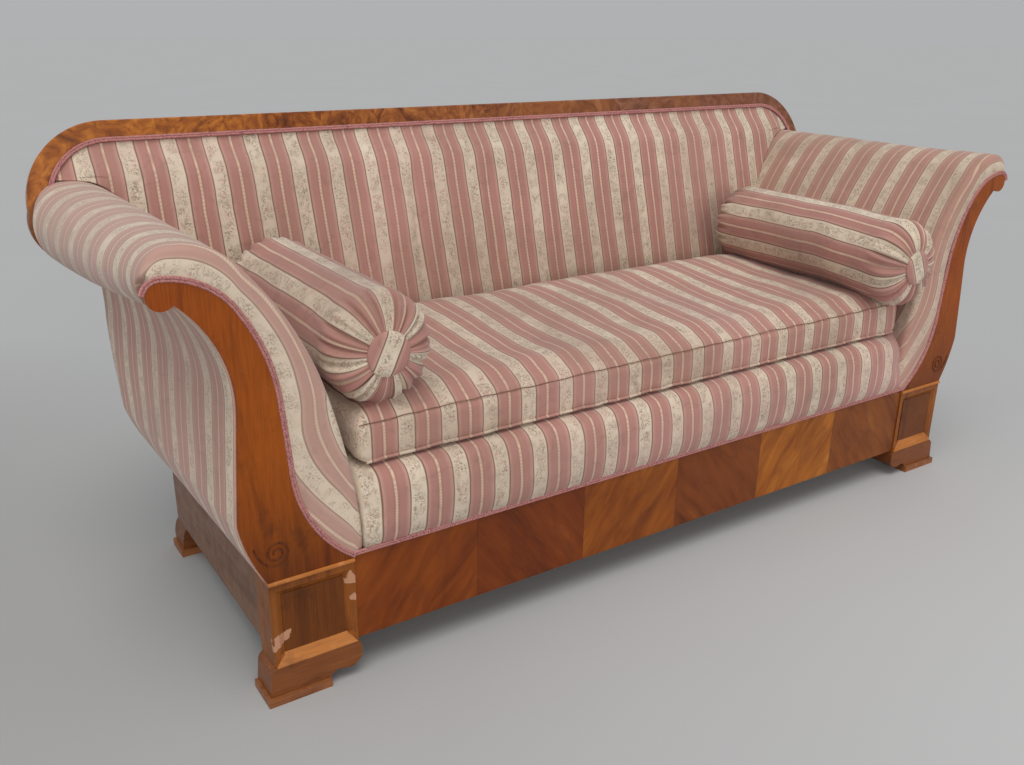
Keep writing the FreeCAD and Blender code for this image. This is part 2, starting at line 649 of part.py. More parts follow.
def back_line(y, inset, low, follow):
    """Upright outline of the back inside the crest, drawn in by inset.

    Below the crest it drops straight, or follows the arm's inner side.
    """
    top = CREST_TOP - CREST_FACE - inset
    radius = CREST_RADIUS - CREST_FACE - inset
    side = CREST_END + radius
    spring = CREST_CENTRE
    bend = radius * math.cos(math.pi / 4)

    def place(x, z):
        return V(x, y, z)

    steps = [((side, spring),), ((CREST_END + bend, spring + bend), (CREST_END, top)), ((-CREST_END, top),),
             ((-CREST_END - bend, spring + bend), (-side, spring))]
    if follow:
        arm = [STILE_INNER_NECK, STILE_INNER_BACK, STILE_INNER_KNEE]
        arm = [(HALF - u - inset, BLOCK_TOP + rise / math.cos(SLOPE)) for u, rise in arm]
        foot = (arm[-1][0], low)
        steps += [((-x, z),) for x, z in arm] + [((-foot[0], low),)]
        steps = [((x, z),) for x, z in reversed(arm)] + steps
        return outline(place, foot, *steps)
    return outline(place, (side, low), *steps, ((-side, low),))


def front_edges(shape):
    """The long outer edges of a crest piece's front face."""
    face = [e for e in shape.Edges if e.BoundBox.YMax < BACK_FACE + CREST_EDGE and e.Length > CREST_FACE + CREST_EDGE]
    return [e for e in face if e.BoundBox.ZMax > CREST_TOP - CREST_EDGE or e.BoundBox.XMin < CREST_EDGE - CREST_SIDE]


# Crest: a straight rail and two quarter-round corners that come down to
# the rear posts, all with eased front edges
def crest():
    rail = box(-CREST_END, CREST_END, BACK_FACE, FRAME_DEPTH, CREST_TOP - CREST_FACE, CREST_TOP)
    pieces["crest_rail"] = leaned(rail.makeChamfer(CREST_EDGE, front_edges(rail)))
    whole = Part.makeCylinder(CREST_RADIUS, CREST_THICK, V(-CREST_END, BACK_FACE, CREST_CENTRE), V(0, 1, 0))
    hole = Part.makeCylinder(CREST_RADIUS - CREST_FACE, CREST_THICK, V(-CREST_END, BACK_FACE, CREST_CENTRE),
                             V(0, 1, 0))
    quarter = box(-CREST_SIDE, -CREST_END, BACK_FACE, FRAME_DEPTH, CREST_CENTRE, CREST_TOP)
    corner = whole.cut(hole).common(quarter)
    leg = box(-CREST_SIDE, CREST_FACE - CREST_SIDE, BACK_FACE, FRAME_DEPTH, CREST_CENTRE - CREST_LEG, CREST_CENTRE)
    corner = corner.fuse(leg).removeSplitter()
    corner = leaned(corner.makeChamfer(CREST_EDGE, front_edges(corner)))
    corner = corner.cut(pieces["rear_arm_post_left"])
    both_ends("crest_corner", max(corner.Solids, key=lambda solid: solid.Volume))


# Back frame: a bottom rail and two uprights between the posts
def back_frame():
    under = box(-FAR, FAR, -FAR, FAR, -FAR, BLOCK_TOP)
    rail_top = BLOCK_TOP + BOTTOM_RAIL_HEIGHT
    rail = box(-HALF, HALF, BACK_FACE, FRAME_DEPTH, BLOCK_TOP - CREST_THICK, rail_top)
    pieces["back_bottom_rail"] = without(leaned(rail).cut(under), "rear_arm_post")
    half = UPRIGHT_WIDTH / 2
    uprights = []
    for x in (-UPRIGHT_PLACE, UPRIGHT_PLACE):
        upright = box(x - half, x + half, BACK_FACE, FRAME_DEPTH, rail_top, CREST_TOP - CREST_FACE)
        uprights.append(leaned(upright))
    pieces["back_uprights"] = Part.makeCompound(uprights)


# Webbing of the back: upright straps, and level ones laid over them
def back_webbing():
    half = STRAP_WIDTH / 2
    straps = []
    low = BLOCK_TOP + BOTTOM_RAIL_HEIGHT / 2
    high = CREST_TOP - CREST_FACE - BACK_PAD_EDGE
    over = BACK_FACE - STRAP_THICK
    for x in spread(SPRING_COLUMNS, HALF - BLOCK_WIDTH):
        straps.append(box(x - half, x + half, over, BACK_FACE, low, high))
    for z in (0.28, 0.52, 0.76):
        middle = BLOCK_TOP + z * (CREST_TOP - BLOCK_TOP)
        straps.append(box(-STRAP_REACH, STRAP_REACH, STRAP_FACE, over, middle - half, middle + half))
    pieces["back_webbing"] = leaned(Part.makeCompound(straps))


# Padded back, crowned toward the sitter, with a braid inside the crest
def back_pad(skin):
    low = BLOCK_TOP + DECK_RISE / 2
    edge = STRAP_FACE - BACK_PAD_EDGE
    sections = [back_line(STRAP_FACE, GIMP_WIDTH, low, True), back_line(edge, GIMP_WIDTH, low, True),
                back_line(BACK_PAD_FRONT, GIMP_WIDTH + BACK_PAD_SLOPE, low, True)]
    under = box(-FAR, FAR, -FAR, FAR, -FAR, DECK_TOP)
    pad = leaned(Part.makeLoft(sections, True, True)).cut(under)
    pieces["back_pad"] = pad.cut(skin).cut(mirrored(skin))
    low = CREST_CENTRE - GIMP_WIDTH
    whole = sawn(back_line(edge, 0, low, False), BACK_FACE - edge)
    hole = sawn(back_line(edge, GIMP_WIDTH, low - GIMP_WIDTH, False), BACK_FACE - edge)
    pieces["back_gimp"] = leaned(whole.cut(hole)).cut(skin).cut(mirrored(skin)).cut(pieces["back_webbing"])


# Cloth on the outside of the back, from the crest to the rear rail
def back_cover():
    cover = sawn(back_line(FRAME_DEPTH, -CREST_FACE / 2, BLOCK_TOP, True), CLOTH_THICK)
    pieces["back_cover"] = leaned(cover)


def build():
    front_rail()
    seat_frame()
    glue_blocks()
    corner_blocks()
    block_caps()
    front_feet()
    rear_feet()
    seat_webbing()
    seat_springs()
    seat_deck()
    seat_cushion()
    bolsters()
    core = arm_core()
    arm_stiles()
    rear_arm_posts(core)
    gimps()
    crest()
    back_frame()
    back_webbing()
    arm_rails()
    skin = arm_skin()
    back_pad(skin)
    back_cover()
    arm_pads(skin)
    outer_arm_panels(core, skin)


def stand():
    """Shift that puts the middle of the sofa's depth over the origin."""
    boxes = [shape.optimalBoundingBox(False) for shape in pieces.values()]
    return V(0, -(min(b.YMin for b in boxes) + max(b.YMax for b in boxes)) / 2, 0)


build()
shift = stand()
print("shift", shift.y)
os.makedirs("parts", exist_ok=True)
for name, shape in pieces.items():
    shape.translate(shift)
    print(name, shape.isValid(), len(shape.Solids), round(shape.Volume / 1000))
    shape.exportStep("parts/" + name + ".step")
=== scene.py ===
import cmath
import math

import bmesh
import bpy
from mathutils import Matrix, Vector, noise


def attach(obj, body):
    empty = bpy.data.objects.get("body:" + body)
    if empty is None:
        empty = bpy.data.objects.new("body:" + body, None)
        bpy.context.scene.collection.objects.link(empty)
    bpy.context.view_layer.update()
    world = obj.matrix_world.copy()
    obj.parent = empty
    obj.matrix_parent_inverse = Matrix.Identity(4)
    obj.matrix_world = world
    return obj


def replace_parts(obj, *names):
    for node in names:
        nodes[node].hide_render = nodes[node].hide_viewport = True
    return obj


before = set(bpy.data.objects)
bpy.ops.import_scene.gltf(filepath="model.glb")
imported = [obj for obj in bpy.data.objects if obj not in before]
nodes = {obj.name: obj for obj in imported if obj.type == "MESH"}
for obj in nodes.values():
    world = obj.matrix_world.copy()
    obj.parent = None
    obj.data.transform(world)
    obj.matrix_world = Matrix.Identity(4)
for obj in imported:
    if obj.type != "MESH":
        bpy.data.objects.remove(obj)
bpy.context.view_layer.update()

# The camera stands in front of the left end, a little above the crest, and
# looks down across the seat towards the right end.
camera = bpy.data.objects.new("camera", bpy.data.cameras.new("camera"))
bpy.context.scene.collection.objects.link(camera)
forward = Vector((0.5184, 0.7800, -0.3505)).normalized()
right = Vector((0.8349, -0.5504, 0.0099)).normalized()
up = right.cross(forward)
camera.matrix_world = Matrix((right, up, -forward)).transposed().to_4x4()
camera.location = (-1.3915, -1.8015, 1.154)
camera.data.lens = 34.07
camera.data.sensor_width = 36.0
bpy.context.scene.camera = camera

# Show wood: birch and burr veneers, stained amber and polished with shellac.
# The stiles, crest, blocks and feet are glued up and then veneered.


def shade(red, green, blue):
    """A colour as a paint chart gives it, 0 to 255, made linear for a shader."""
    parts = [v / 255 for v in (red, green, blue)]
    return [v / 12.92 if v < 0.04045 else ((v + 0.055) / 1.055) ** 2.4 for v in parts] + [1.0]


class Finish:
    """A material being laid up, one node after another."""

    def __init__(self, name, rough, **sockets):
        self.material = bpy.data.materials.new(name)
        self.material.use_nodes = True
        self.tree = self.material.node_tree
        self.shader = self.tree.nodes["Principled BSDF"]
        self.shader.inputs["Roughness"].default_value = rough
        for socket, value in sockets.items():
            self.shader.inputs[socket.replace("_", " ").title()].default_value = value
        self.shader.inputs["Specular IOR Level"].default_value = 0.22
        self.place = self.tree.nodes.new("ShaderNodeTexCoord")
        self.where = self.place.outputs["Object"]

    def add(self, kind, *links, out=0, **settings):
        node = self.tree.nodes.new("ShaderNode" + kind)
        for key, value in settings.items():
            setattr(node, key, value)
        for socket, value in enumerate(links):
            if value is None:
                continue
            if isinstance(value, bpy.types.NodeSocket):
                self.tree.links.new(value, node.inputs[socket])
            else:
                node.inputs[socket].default_value = value
        return node.outputs[out]

    def calc(self, operation, *values):
        return self.add("Math", *values, operation=operation)

    def turned(self, turn=(0, 0, 0), scale=(1, 1, 1), vector=None):
        vector = vector or self.where
        for socket, value in (("Rotation", [math.radians(a) for a in turn]), ("Scale", scale)):
            node = self.tree.nodes.new("ShaderNodeMapping")
            node.inputs[socket].default_value = value
            self.tree.links.new(vector, node.inputs["Vector"])
            vector = node.outputs[0]
        return vector

    def cloudy(self, vector, scale, detail=4.0, distortion=0.0, rough=0.55):
        node = self.tree.nodes.new("ShaderNodeTexNoise")
        self.tree.links.new(vector, node.inputs["Vector"])
        node.inputs["Scale"].default_value = scale
        node.inputs["Detail"].default_value = detail
        node.inputs["Roughness"].default_value = rough
        node.inputs["Distortion"].default_value = distortion
        return node.outputs[0]

    def ramp(self, value, *stops, hard=False):
        node = self.tree.nodes.new("ShaderNodeValToRGB")
        self.tree.links.new(value, node.inputs[0])
        node.color_ramp.interpolation = "CONSTANT" if hard else "LINEAR"
        elements = node.color_ramp.elements
        while len(elements) < len(stops):
            elements.new(0.5)
        for element, (at, colour) in zip(elements, stops):
            element.position = at
            element.color = colour if hasattr(colour, "__len__") else (colour, colour, colour, 1)
        return node.outputs[0]

    def mix(self, share, one, other, how="MIX"):
        node = self.tree.nodes.new("ShaderNodeMix")
        node.data_type = "RGBA"
        node.blend_type = how
        for socket, value in ((0, share), (6, one), (7, other)):
            if isinstance(value, bpy.types.NodeSocket):
                self.tree.links.new(value, node.inputs[socket])
            else:
                node.inputs[socket].default_value = value
        return node.outputs[2]

    def bump(self, height, depth, strength=0.6, under=None):
        node = self.tree.nodes.new("ShaderNodeBump")
        node.inputs["Strength"].default_value = strength
        node.inputs["Distance"].default_value = depth
        self.tree.links.new(height, node.inputs["Height"])
        if under is not None:
            self.tree.links.new(under, node.inputs["Normal"])
        return node.outputs[0]

    def done(self, colour, normal=None, rough=None):
        self.tree.links.new(colour, self.shader.inputs["Base Color"])
        if normal is not None:
            self.tree.links.new(normal, self.shader.inputs["Normal"])
        if rough is not None:
            self.tree.links.new(rough, self.shader.inputs["Roughness"])
        return self.material


GRAIN_ALONG, GRAIN_UP, GRAIN_BACK = (0, 0, 0), (0, 90, 0), (0, 0, 90)
SHELLAC = {"coat_weight": 0.08, "coat_roughness": 0.2}


def polished(name, deep, mid, pale, turn, figure=1.0, worn=0.0, painted_shade_below=None, chips=()):
    """Amber wood whose grain runs along X once turned, with rubbed marks.
    A pair of heights may be given for painted shade: below the first the wood is painted
    darker, fading out by the second. chips are places, each with its reach, where the veneer is knocked off."""
    scuffed, stained, bare = shade(214, 150, 100), shade(62, 28, 12), shade(192, 142, 112)
    f = Finish(name, 0.4, **SHELLAC)
    grain = f.turned(turn, (1.2, 9.0, 9.0))
    streak = f.cloudy(grain, 3.0 * figure, 6.0, 1.4)
    wood = f.ramp(streak, (0.26, deep), (0.46, mid), (0.62, mid), (0.8, pale))
    pores = f.cloudy(f.turned(turn, (6.0, 110.0, 110.0)), 3.0, 3.0)
    wood = f.mix(f.ramp(pores, (0.35, 0.42), (0.6, 0.0)), wood, deep)
    clouds = f.cloudy(f.where, 5.0, 3.0, 0.6)
    wood = f.mix(f.ramp(clouds, (0.35, 0.0), (0.75, 0.45)), wood, pale)
    scuffs = f.cloudy(f.where, 34.0, 7.0, 0.3, 0.7)
    wood = f.mix(f.ramp(scuffs, (0.66 - worn, 0.0), (0.74 - worn / 2, 0.4)), wood, scuffed)
    stains = f.cloudy(f.where, 15.0, 5.0, 0.3, 0.65)
    wood = f.mix(f.ramp(stains, (0.3, 0.4), (0.42, 0.0)), wood, stained)
    # painted shade: the wood is painted darker towards the bottom, below the first of the two heights
    if painted_shade_below:
        height = f.add("MapRange", f.add("SeparateXYZ", f.where, out=2), *painted_shade_below, 0.0, 1.0)
        wood = f.mix(1.0, wood, f.ramp(height, (0.0, 0.5), (1.0, 1.0)), "MULTIPLY")
    for spot, reach in chips:
        away = f.add("VectorMath", f.where, spot, operation="DISTANCE", out=1)
        uneven = f.calc("MULTIPLY", f.cloudy(f.where, 70.0, 5.0), 1.3)
        ragged = f.calc("ADD", f.calc("DIVIDE", away, reach), uneven)
        wood = f.mix(f.ramp(ragged, (0.98, 0.9), (1.0, 0.0)), wood, bare)
    rough = f.ramp(scuffs, (0.4, 0.34), (0.75, 0.58))
    return f.done(wood, f.bump(pores, 0.0004, 0.35), rough)


def dressed(material, *names):
    """Give a frame piece this finish."""
    for name in names:
        nodes[name].data.materials.clear()
        nodes[name].data.materials.append(material)


def pair(*names):
    """The left and right names of these pieces."""
    return [name + side for name in names for side in ("_left", "_right")]


BLOCK_CHIPS = (((-0.932, -0.383, 0.122), 0.042), ((-0.794, -0.383, 0.206), 0.032),
               ((-0.791, -0.383, 0.166), 0.024))
PANEL_CHIPS = (((-0.920, -0.375, 0.128), 0.034),)
# The stiles carry painted shade towards their feet.
dressed(polished("stile_wood", shade(88, 32, 0), shade(148, 68, 2), shade(172, 92, 10),
                 GRAIN_UP, 0.6, painted_shade_below=(0.2, 0.48)), *pair("arm_stile"))
dressed(polished("block_wood", shade(80, 36, 8), shade(136, 74, 22), shade(170, 102, 42),
                 GRAIN_UP, 0.6, 0.04, chips=BLOCK_CHIPS), *pair("corner_block"))
# The side aprons take a darker, duller copy of the wood: painted shade where they stand under the arms.
dressed(polished("apron_wood_in_painted_shade", shade(90, 54, 34), shade(124, 84, 58), shade(142, 102, 76),
                 GRAIN_BACK, 0.5), *pair("side_apron"))
dressed(polished("panel_wood", shade(70, 30, 4), shade(106, 54, 10), shade(124, 68, 18),
                 GRAIN_UP, 0.5, chips=PANEL_CHIPS), *pair("block_panel"))
dressed(polished("moulding_wood", shade(124, 66, 22), shade(178, 106, 44), shade(206, 140, 80),
                 GRAIN_ALONG, 0.8, 0.08), *pair("block_cap", "block_base_moulding"))
dressed(polished("foot_wood", shade(72, 34, 12), shade(122, 68, 32), shade(148, 90, 50),
                 GRAIN_ALONG, 0.8, 0.03), *pair("front_foot", "rear_foot"))
dressed(polished("plinth_wood", shade(86, 44, 20), shade(140, 84, 48), shade(172, 114, 74),
                 GRAIN_ALONG, 0.8, 0.09), *pair("front_plinth", "rear_plinth"))
dressed(polished("post_wood", shade(100, 54, 24), shade(140, 84, 42), shade(164, 104, 58),
                 GRAIN_UP, 0.6), *pair("rear_arm_post"))

# The front rail is faced with six leaves cut from one log and laid side by
# side, each turned over from the last, so their figure meets at the joints.
RAIL_REACH = 0.7845
LEAF_TONES = ((204, 172, 140), (182, 146, 140), (220, 204, 190), (190, 168, 190), (255, 252, 240),
              (206, 196, 224))
LEAVES = len(LEAF_TONES)
f = Finish("rail_veneer", 0.4, **SHELLAC)
xyz = f.add("SeparateXYZ", f.where)
height = xyz.node.outputs[2]
along = f.calc("DIVIDE", f.calc("ADD", xyz, RAIL_REACH), 2 * RAIL_REACH / LEAVES)
leaf = f.calc("FLOOR", along)
folded = f.calc("PINGPONG", along, 1.0)
figured = f.add("CombineXYZ", folded, f.calc("MULTIPLY", leaf, 0.37), height)
figured = f.turned(scale=(0.26, 1.0, 1.0), vector=figured)
swirl = f.cloudy(f.turned((0, 52, 0), (1.0, 1.0, 5.0), figured), 4.0, 7.0, 0.35, 0.62)
ground = f.ramp(swirl, (0.3, shade(112, 54, 8)), (0.46, shade(152, 84, 16)), (0.6, shade(170, 100, 26)),
                (0.76, shade(200, 132, 54)))
tone = f.ramp(f.calc("DIVIDE", f.calc("ADD", leaf, 0.5), LEAVES),
              *((k / LEAVES, shade(*colour)) for k, colour in enumerate(LEAF_TONES)), hard=True)
veneer = f.mix(1.0, ground, tone, "MULTIPLY")
veins = f.cloudy(f.turned((0, 60, 0), (1.0, 1.0, 3.0), figured), 3.0, 5.0, 0.8, 0.5)
veneer = f.mix(f.ramp(veins, (0.46, 0.0), (0.5, 0.3), (0.54, 0.0)), veneer, shade(84, 38, 12))
joint = f.calc("ABSOLUTE", f.calc("SUBTRACT", f.calc("FRACT", f.calc("ADD", along, 0.5)), 0.5))
veneer = f.mix(f.ramp(joint, (0.0, 0.7), (0.006, 0.0)), veneer, shade(70, 34, 12))
fine = f.cloudy(f.turned((0, 52, 0), (8.0, 30.0, 90.0), figured), 3.0, 3.0)
veneer = f.mix(f.ramp(fine, (0.35, 0.3), (0.55, 0.0)), veneer, shade(120, 58, 18))
rough = f.ramp(swirl, (0.3, 0.42), (0.7, 0.3))
dressed(f.done(veneer, f.bump(fine, 0.0003, 0.3), rough), "front_rail_veneer")

# The crest is a sawn pine core faced with short pieces of burr, golden at
# the left end and darker, almost violet, at the right.
f = Finish("crest_veneer", 0.42, **SHELLAC)
xyz = f.add("SeparateXYZ", f.where)
uneven = f.calc("MULTIPLY", f.cloudy(f.turned(scale=(0.8, 0, 0)), 2.0, 0.0), 3.0)
patch = f.calc("FLOOR", f.calc("ADD", f.calc("MULTIPLY", xyz, 7.3), uneven))
burr = f.cloudy(f.add("VectorMath", f.where, f.add("CombineXYZ", patch, patch, patch), operation="ADD"),
                17.0, 8.0, 2.2, 0.62)
gold = f.ramp(burr, (0.32, shade(74, 28, 2)), (0.46, shade(136, 70, 14)), (0.58, shade(174, 102, 30)),
              (0.74, shade(204, 136, 60)))
dusk = f.ramp(burr, (0.32, shade(58, 28, 22)), (0.5, shade(102, 64, 52)), (0.7, shade(132, 92, 76)))
share = f.add("MapRange", xyz, -0.8, 0.7, 0.0, 1.0)
crest = f.mix(share, gold, dusk)
lively = f.add("TexWhiteNoise", None, patch, noise_dimensions="1D")
crest = f.mix(f.ramp(lively, (0.0, 0.0), (1.0, 0.34)), crest, shade(176, 108, 54))
pits = f.cloudy(f.where, 60.0, 5.0, 0.5, 0.7)
crest = f.mix(f.ramp(pits, (0.66, 0.0), (0.72, 0.6)), crest, shade(60, 26, 12))
dressed(f.done(crest, f.bump(burr, 0.0004, 0.3), f.ramp(burr, (0.3, 0.45), (0.7, 0.3))),
        "crest_rail", *pair("crest_corner"))

# Hidden frame: plain pine rails and glue blocks, jute webbing, a hessian
# canvas over the coils, and the japanned steel of the springs.
f = Finish("pine", 0.7)
rings = f.cloudy(f.turned(scale=(0.8, 14.0, 14.0)), 4.0, 4.0, 0.6)
pine = f.done(f.ramp(rings, (0.3, shade(142, 100, 58)), (0.7, shade(180, 140, 92))), f.bump(rings, 0.0004))
dressed(pine, "front_rail", "rear_rail", "seat_stretchers", "corner_glue_blocks", "back_bottom_rail",
        "back_uprights", *pair("arm_foot_rail", "arm_middle_rail", "arm_roll_rail"))
f = Finish("jute", 0.9)
threads = f.cloudy(f.turned(scale=(300.0, 300.0, 60.0)), 2.0, 2.0)
tan_fibre = f.ramp(threads, (0.35, shade(138, 112, 76)), (0.65, shade(182, 158, 116)))
dressed(f.done(tan_fibre, f.bump(threads, 0.0006)), "seat_webbing", "back_webbing", "spring_canvas")
f = Finish("japanned_steel", 0.4, metallic=0.9)
worn = f.cloudy(f.where, 60.0, 4.0)
dressed(f.done(f.ramp(worn, (0.4, shade(60, 56, 54)), (0.7, shade(120, 114, 108)))), "seat_springs")

# A spiral is cut into the foot of each stile with a small gouge: a tail that
# comes in from the outer edge, then turns inward on itself. The cut is drawn as a
# thin dark cord on the face, its dark colour painted shade for the hollow of the cut.
SIDES = ((-1, "_left"), (1, "_right"))
FRONT = -0.38257
BLOCK_FACE = 0.9455
BLOCK_TOP = 0.238
SPIRAL_STEPS = 44
# painted shade: the dark colour of the cord stands for the shadow inside the cut
f = Finish("gouge_painted_shade", 0.6)
gouge_shade = f.done(f.ramp(f.cloudy(f.where, 120.0), (0.3, shade(58, 23, 6)), (0.7, shade(112, 58, 22))))
points = [(-19, 318), (-14, 303), (-5, 288), (6, 279)]
for k in range(SPIRAL_STEPS):
    angle = math.radians(-105 + 15.5 * k)
    reach = 24 - 19.5 * k / (SPIRAL_STEPS - 1)
    points.append((20 + reach * math.cos(angle), 301 + reach * math.sin(angle)))
for side, ending in SIDES:
    line = bpy.data.curves.new("gouge", "CURVE")
    line.dimensions = "3D"
    line.bevel_depth = 0.0016
    line.bevel_resolution = 2
    spline = line.splines.new("POLY")
    spline.points.add(len(points) - 1)
    for point, (u, z) in zip(spline.points, points):
        point.co = (side * (BLOCK_FACE - u / 1000), FRONT - 0.0002, z / 1000, 1)
    curve = bpy.data.objects.new("gouge", line)
    mesh = bpy.data.meshes.new_from_object(curve)
    bpy.data.objects.remove(curve)
    mesh.materials.append(gouge_shade)
    spiral = bpy.data.objects.new("stile_spiral" + ending, mesh)
    bpy.context.scene.collection.objects.link(spiral)
    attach(spiral, "sofa")

# The cloth is a silk and cotton stripe: a cream band with small flowers
# between dark lines, then a dusty pink band with a chain of cream thread.
REPEAT = 0.090


def striped(name, across, phase=0.0, light=1.0, soiled=0.35, tint=None, painted_shade_heights=None):
    """The cloth, its repeat laid across one axis or across the piece's own map.
    A pair of heights may be given for painted shade: the cloth is painted browner and darker towards the
    first."""
    f = Finish(name, 0.72, sheen_weight=0.18)
    xyz = f.add("SeparateXYZ", f.where)
    if across == "map":
        uv = f.add("SeparateXYZ", f.place.outputs["UV"])
        spot, length = uv, uv.node.outputs[1]
    else:
        spot = xyz.node.outputs["XYZ".index(across)]
        length = f.calc("SUBTRACT", xyz.node.outputs[2], xyz.node.outputs[1])
    wander = f.calc("MULTIPLY", f.calc("SUBTRACT", f.cloudy(f.where, 7.0, 2.0), 0.5), 0.09)
    turn = f.calc("FRACT", f.calc("ADD", f.calc("ADD", f.calc("DIVIDE", spot, REPEAT), phase), wander))
    cream, pink, rose = shade(218, 202, 180), shade(190, 146, 134), shade(174, 124, 114)
    line, thin_line, chain = shade(126, 94, 78), shade(160, 112, 102), shade(226, 206, 176)
    bands = f.ramp(turn, (0.0, line), (0.018, line), (0.036, cream), (0.374, cream), (0.392, line),
                   (0.41, line), (0.428, pink), (0.5, rose), (0.63, rose), (0.645, thin_line), (0.66, rose),
                   (0.74, rose), (0.755, thin_line), (0.77, rose), (0.9, rose), (0.98, pink))
    flower_band = f.ramp(turn, (0.04, 0.0), (0.09, 1.0), (0.32, 1.0), (0.37, 0.0))
    petals = f.cloudy(f.where, 120.0, 3.0, 2.8, 0.6)
    sprays = f.ramp(f.cloudy(f.where, 40.0, 1.0), (0.36, 0.0), (0.5, 1.0))
    petals = f.ramp(petals, (0.48, 0.0), (0.6, 0.75))
    flowers = f.calc("MULTIPLY", f.calc("MULTIPLY", petals, sprays), flower_band)
    either = f.ramp(f.cloudy(f.where, 52.0, 1.0), (0.5, 0.0), (0.56, 1.0))
    cloth = f.mix(flowers, bands, f.mix(either, shade(118, 104, 86), shade(156, 104, 96)))
    chain_band = f.ramp(turn, (0.667, 0.0), (0.68, 1.0), (0.72, 1.0), (0.733, 0.0))
    links = f.calc("SINE", f.calc("MULTIPLY", length, 1100.0))
    links = f.calc("ADD", f.calc("MULTIPLY", links, 0.16), 0.6)
    cloth = f.mix(f.calc("MULTIPLY", chain_band, links), cloth, chain)
    fade = f.cloudy(f.where, 3.4, 5.0, 0.5, 0.62)
    cloth = f.mix(f.ramp(fade, (0.40, 0.0), (0.66, soiled)), cloth, shade(138, 110, 94))
    bloom = f.cloudy(f.turned((10, 0, 40)), 2.1, 3.0)
    cloth = f.mix(f.ramp(bloom, (0.5, 0.0), (0.75, 0.3)), cloth, shade(200, 150, 146))
    mottle = f.cloudy(f.where, 30.0, 5.0, 0.8, 0.66)
    cloth = f.mix(f.ramp(mottle, (0.32, 0.28), (0.46, 0.0)), cloth, shade(118, 94, 80))
    if tint:
        cloth = f.mix(tint[0], cloth, tint[1])
    # painted shade: the cloth is painted browner and darker towards the lower of the two heights
    if painted_shade_heights:
        low = f.ramp(f.add("MapRange", xyz.node.outputs[2], *painted_shade_heights, 0.0, 1.0), (0.0, 0.42), (1.0, 0.0))
        cloth = f.mix(low, cloth, shade(128, 96, 74))
    if light != 1.0:
        cloth = f.mix(1.0, cloth, [light, light, light, 1], "MULTIPLY")
    soft = f.bump(f.cloudy(f.where, 14.0, 3.0, 0.5), 0.012, 0.24)
    weave = f.bump(f.cloudy(f.turned(scale=(1, 1, 0.6)), 700.0, 2.0), 0.0006, 0.5, soft)
    return f.done(cloth, f.bump(flowers, 0.0005, 0.5, weave))


def piece(name, bm, material, body):
    """Put a finished bmesh in the scene, on its body and with its finish."""
    mesh = bpy.data.meshes.new(name)
    bm.to_mesh(mesh)
    bm.free()
    mesh.materials.append(material)
    obj = bpy.data.objects.new(name, mesh)
    bpy.context.scene.collection.objects.link(obj)
    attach(obj, body)
    return obj


def lay(name, columns, rows, place, material, body="sofa", closed=False, spots=None):
    """A sheet of cloth from a grid: place gives each spot its point, spots its map.
    A closed sheet has its open ends sewn shut."""
    bm = bmesh.new()
    uv = bm.loops.layers.uv.new("UVMap")
    bmesh.ops.create_grid(bm, x_segments=columns, y_segments=rows, size=0.5)
    grid = {v: (v.co.x + 0.5, v.co.y + 0.5) for v in bm.verts}
    for face in bm.faces:
        for loop in face.loops:
            loop[uv].uv = spots(*grid[loop.vert]) if spots else grid[loop.vert]
        face.smooth = True
    for vert, (s, t) in grid.items():
        vert.co = place(s, t)
    bmesh.ops.remove_doubles(bm, verts=bm.verts, dist=0.00002)
    if closed:
        ends = bmesh.ops.holes_fill(bm, edges=[e for e in bm.edges if e.is_boundary], sides=0)["faces"]
        bmesh.ops.triangulate(bm, faces=ends, ngon_method="EAR_CLIP")
    bmesh.ops.recalc_face_normals(bm, faces=bm.faces)
    return piece(name, bm, material, body)


def corded(name, paths, material, radius, body="sofa"):
    """Cords laid side by side along these paths, as one piece."""
    line = bpy.data.curves.new(name, "CURVE")
    line.dimensions = "3D"
    line.bevel_depth = radius
    line.bevel_resolution = 3
    line.use_fill_caps = True
    for path in paths:
        spline = line.splines.new("POLY")
        spline.points.add(len(path) - 1)
        for point, place in zip(spline.points, path):
            point.co = (*place, 1)
    curve = bpy.data.objects.new(name, line)
    mesh = bpy.data.meshes.new_from_object(curve)
    bpy.data.objects.remove(curve)
    bm = bmesh.new()
    bm.from_mesh(mesh)
    for face in bm.faces:
        face.smooth = True
    return piece(name, bm, material, body)


def blend(value, low, high):
    """0 below low, 1 above high, and a smooth climb between."""
    value = min(1.0, max(0.0, (value - low) / (high - low)))
    return value * value * (3 - 2 * value)


def ripple(x, y, z, size):
    """Smooth unevenness between about -1 and 1, for stuffing under cloth."""
    return noise.noise(Vector((x, y, z)) / size)


# Sprung deck: the stuffed seat under the loose cushion, whose front border
# is rolled forward over the rail and tacked along its top edge.
def spline_through(points, t):
    """A point on a smooth line through these, t from 0 to 1."""
    last = len(points) - 1
    place = min(t * last, last - 1e-9)
    i, k = int(place), place - int(place)
    p = [Vector(points[max(0, min(last, j))]) for j in (i - 1, i, i + 1, i + 2)]
    return 0.5 * (2 * p[1] + (p[2] - p[0]) * k + (2 * p[0] - 5 * p[1] + 4 * p[2] - p[3]) * k * k
                  + (3 * p[1] - p[0] - 3 * p[2] + p[3]) * k ** 3)


DECK_REACH = 0.7607
deck_line = [(0.003, 0.2515), (0.000, 0.258), (-0.008, 0.275), (-0.0125, 0.303), (-0.0125, 0.335),
             (-0.009, 0.365), (0.000, 0.388), (0.018, 0.4005), (0.06, 0.4038), (0.2, 0.4038), (0.4, 0.4038),
             (0.58, 0.4038), (0.62, 0.400), (0.60, 0.352), (0.4, 0.351), (0.2, 0.351), (0.062, 0.351),
             (0.061, 0.3), (0.060, 0.256), (0.03, 0.2515), (0.003, 0.2515)]


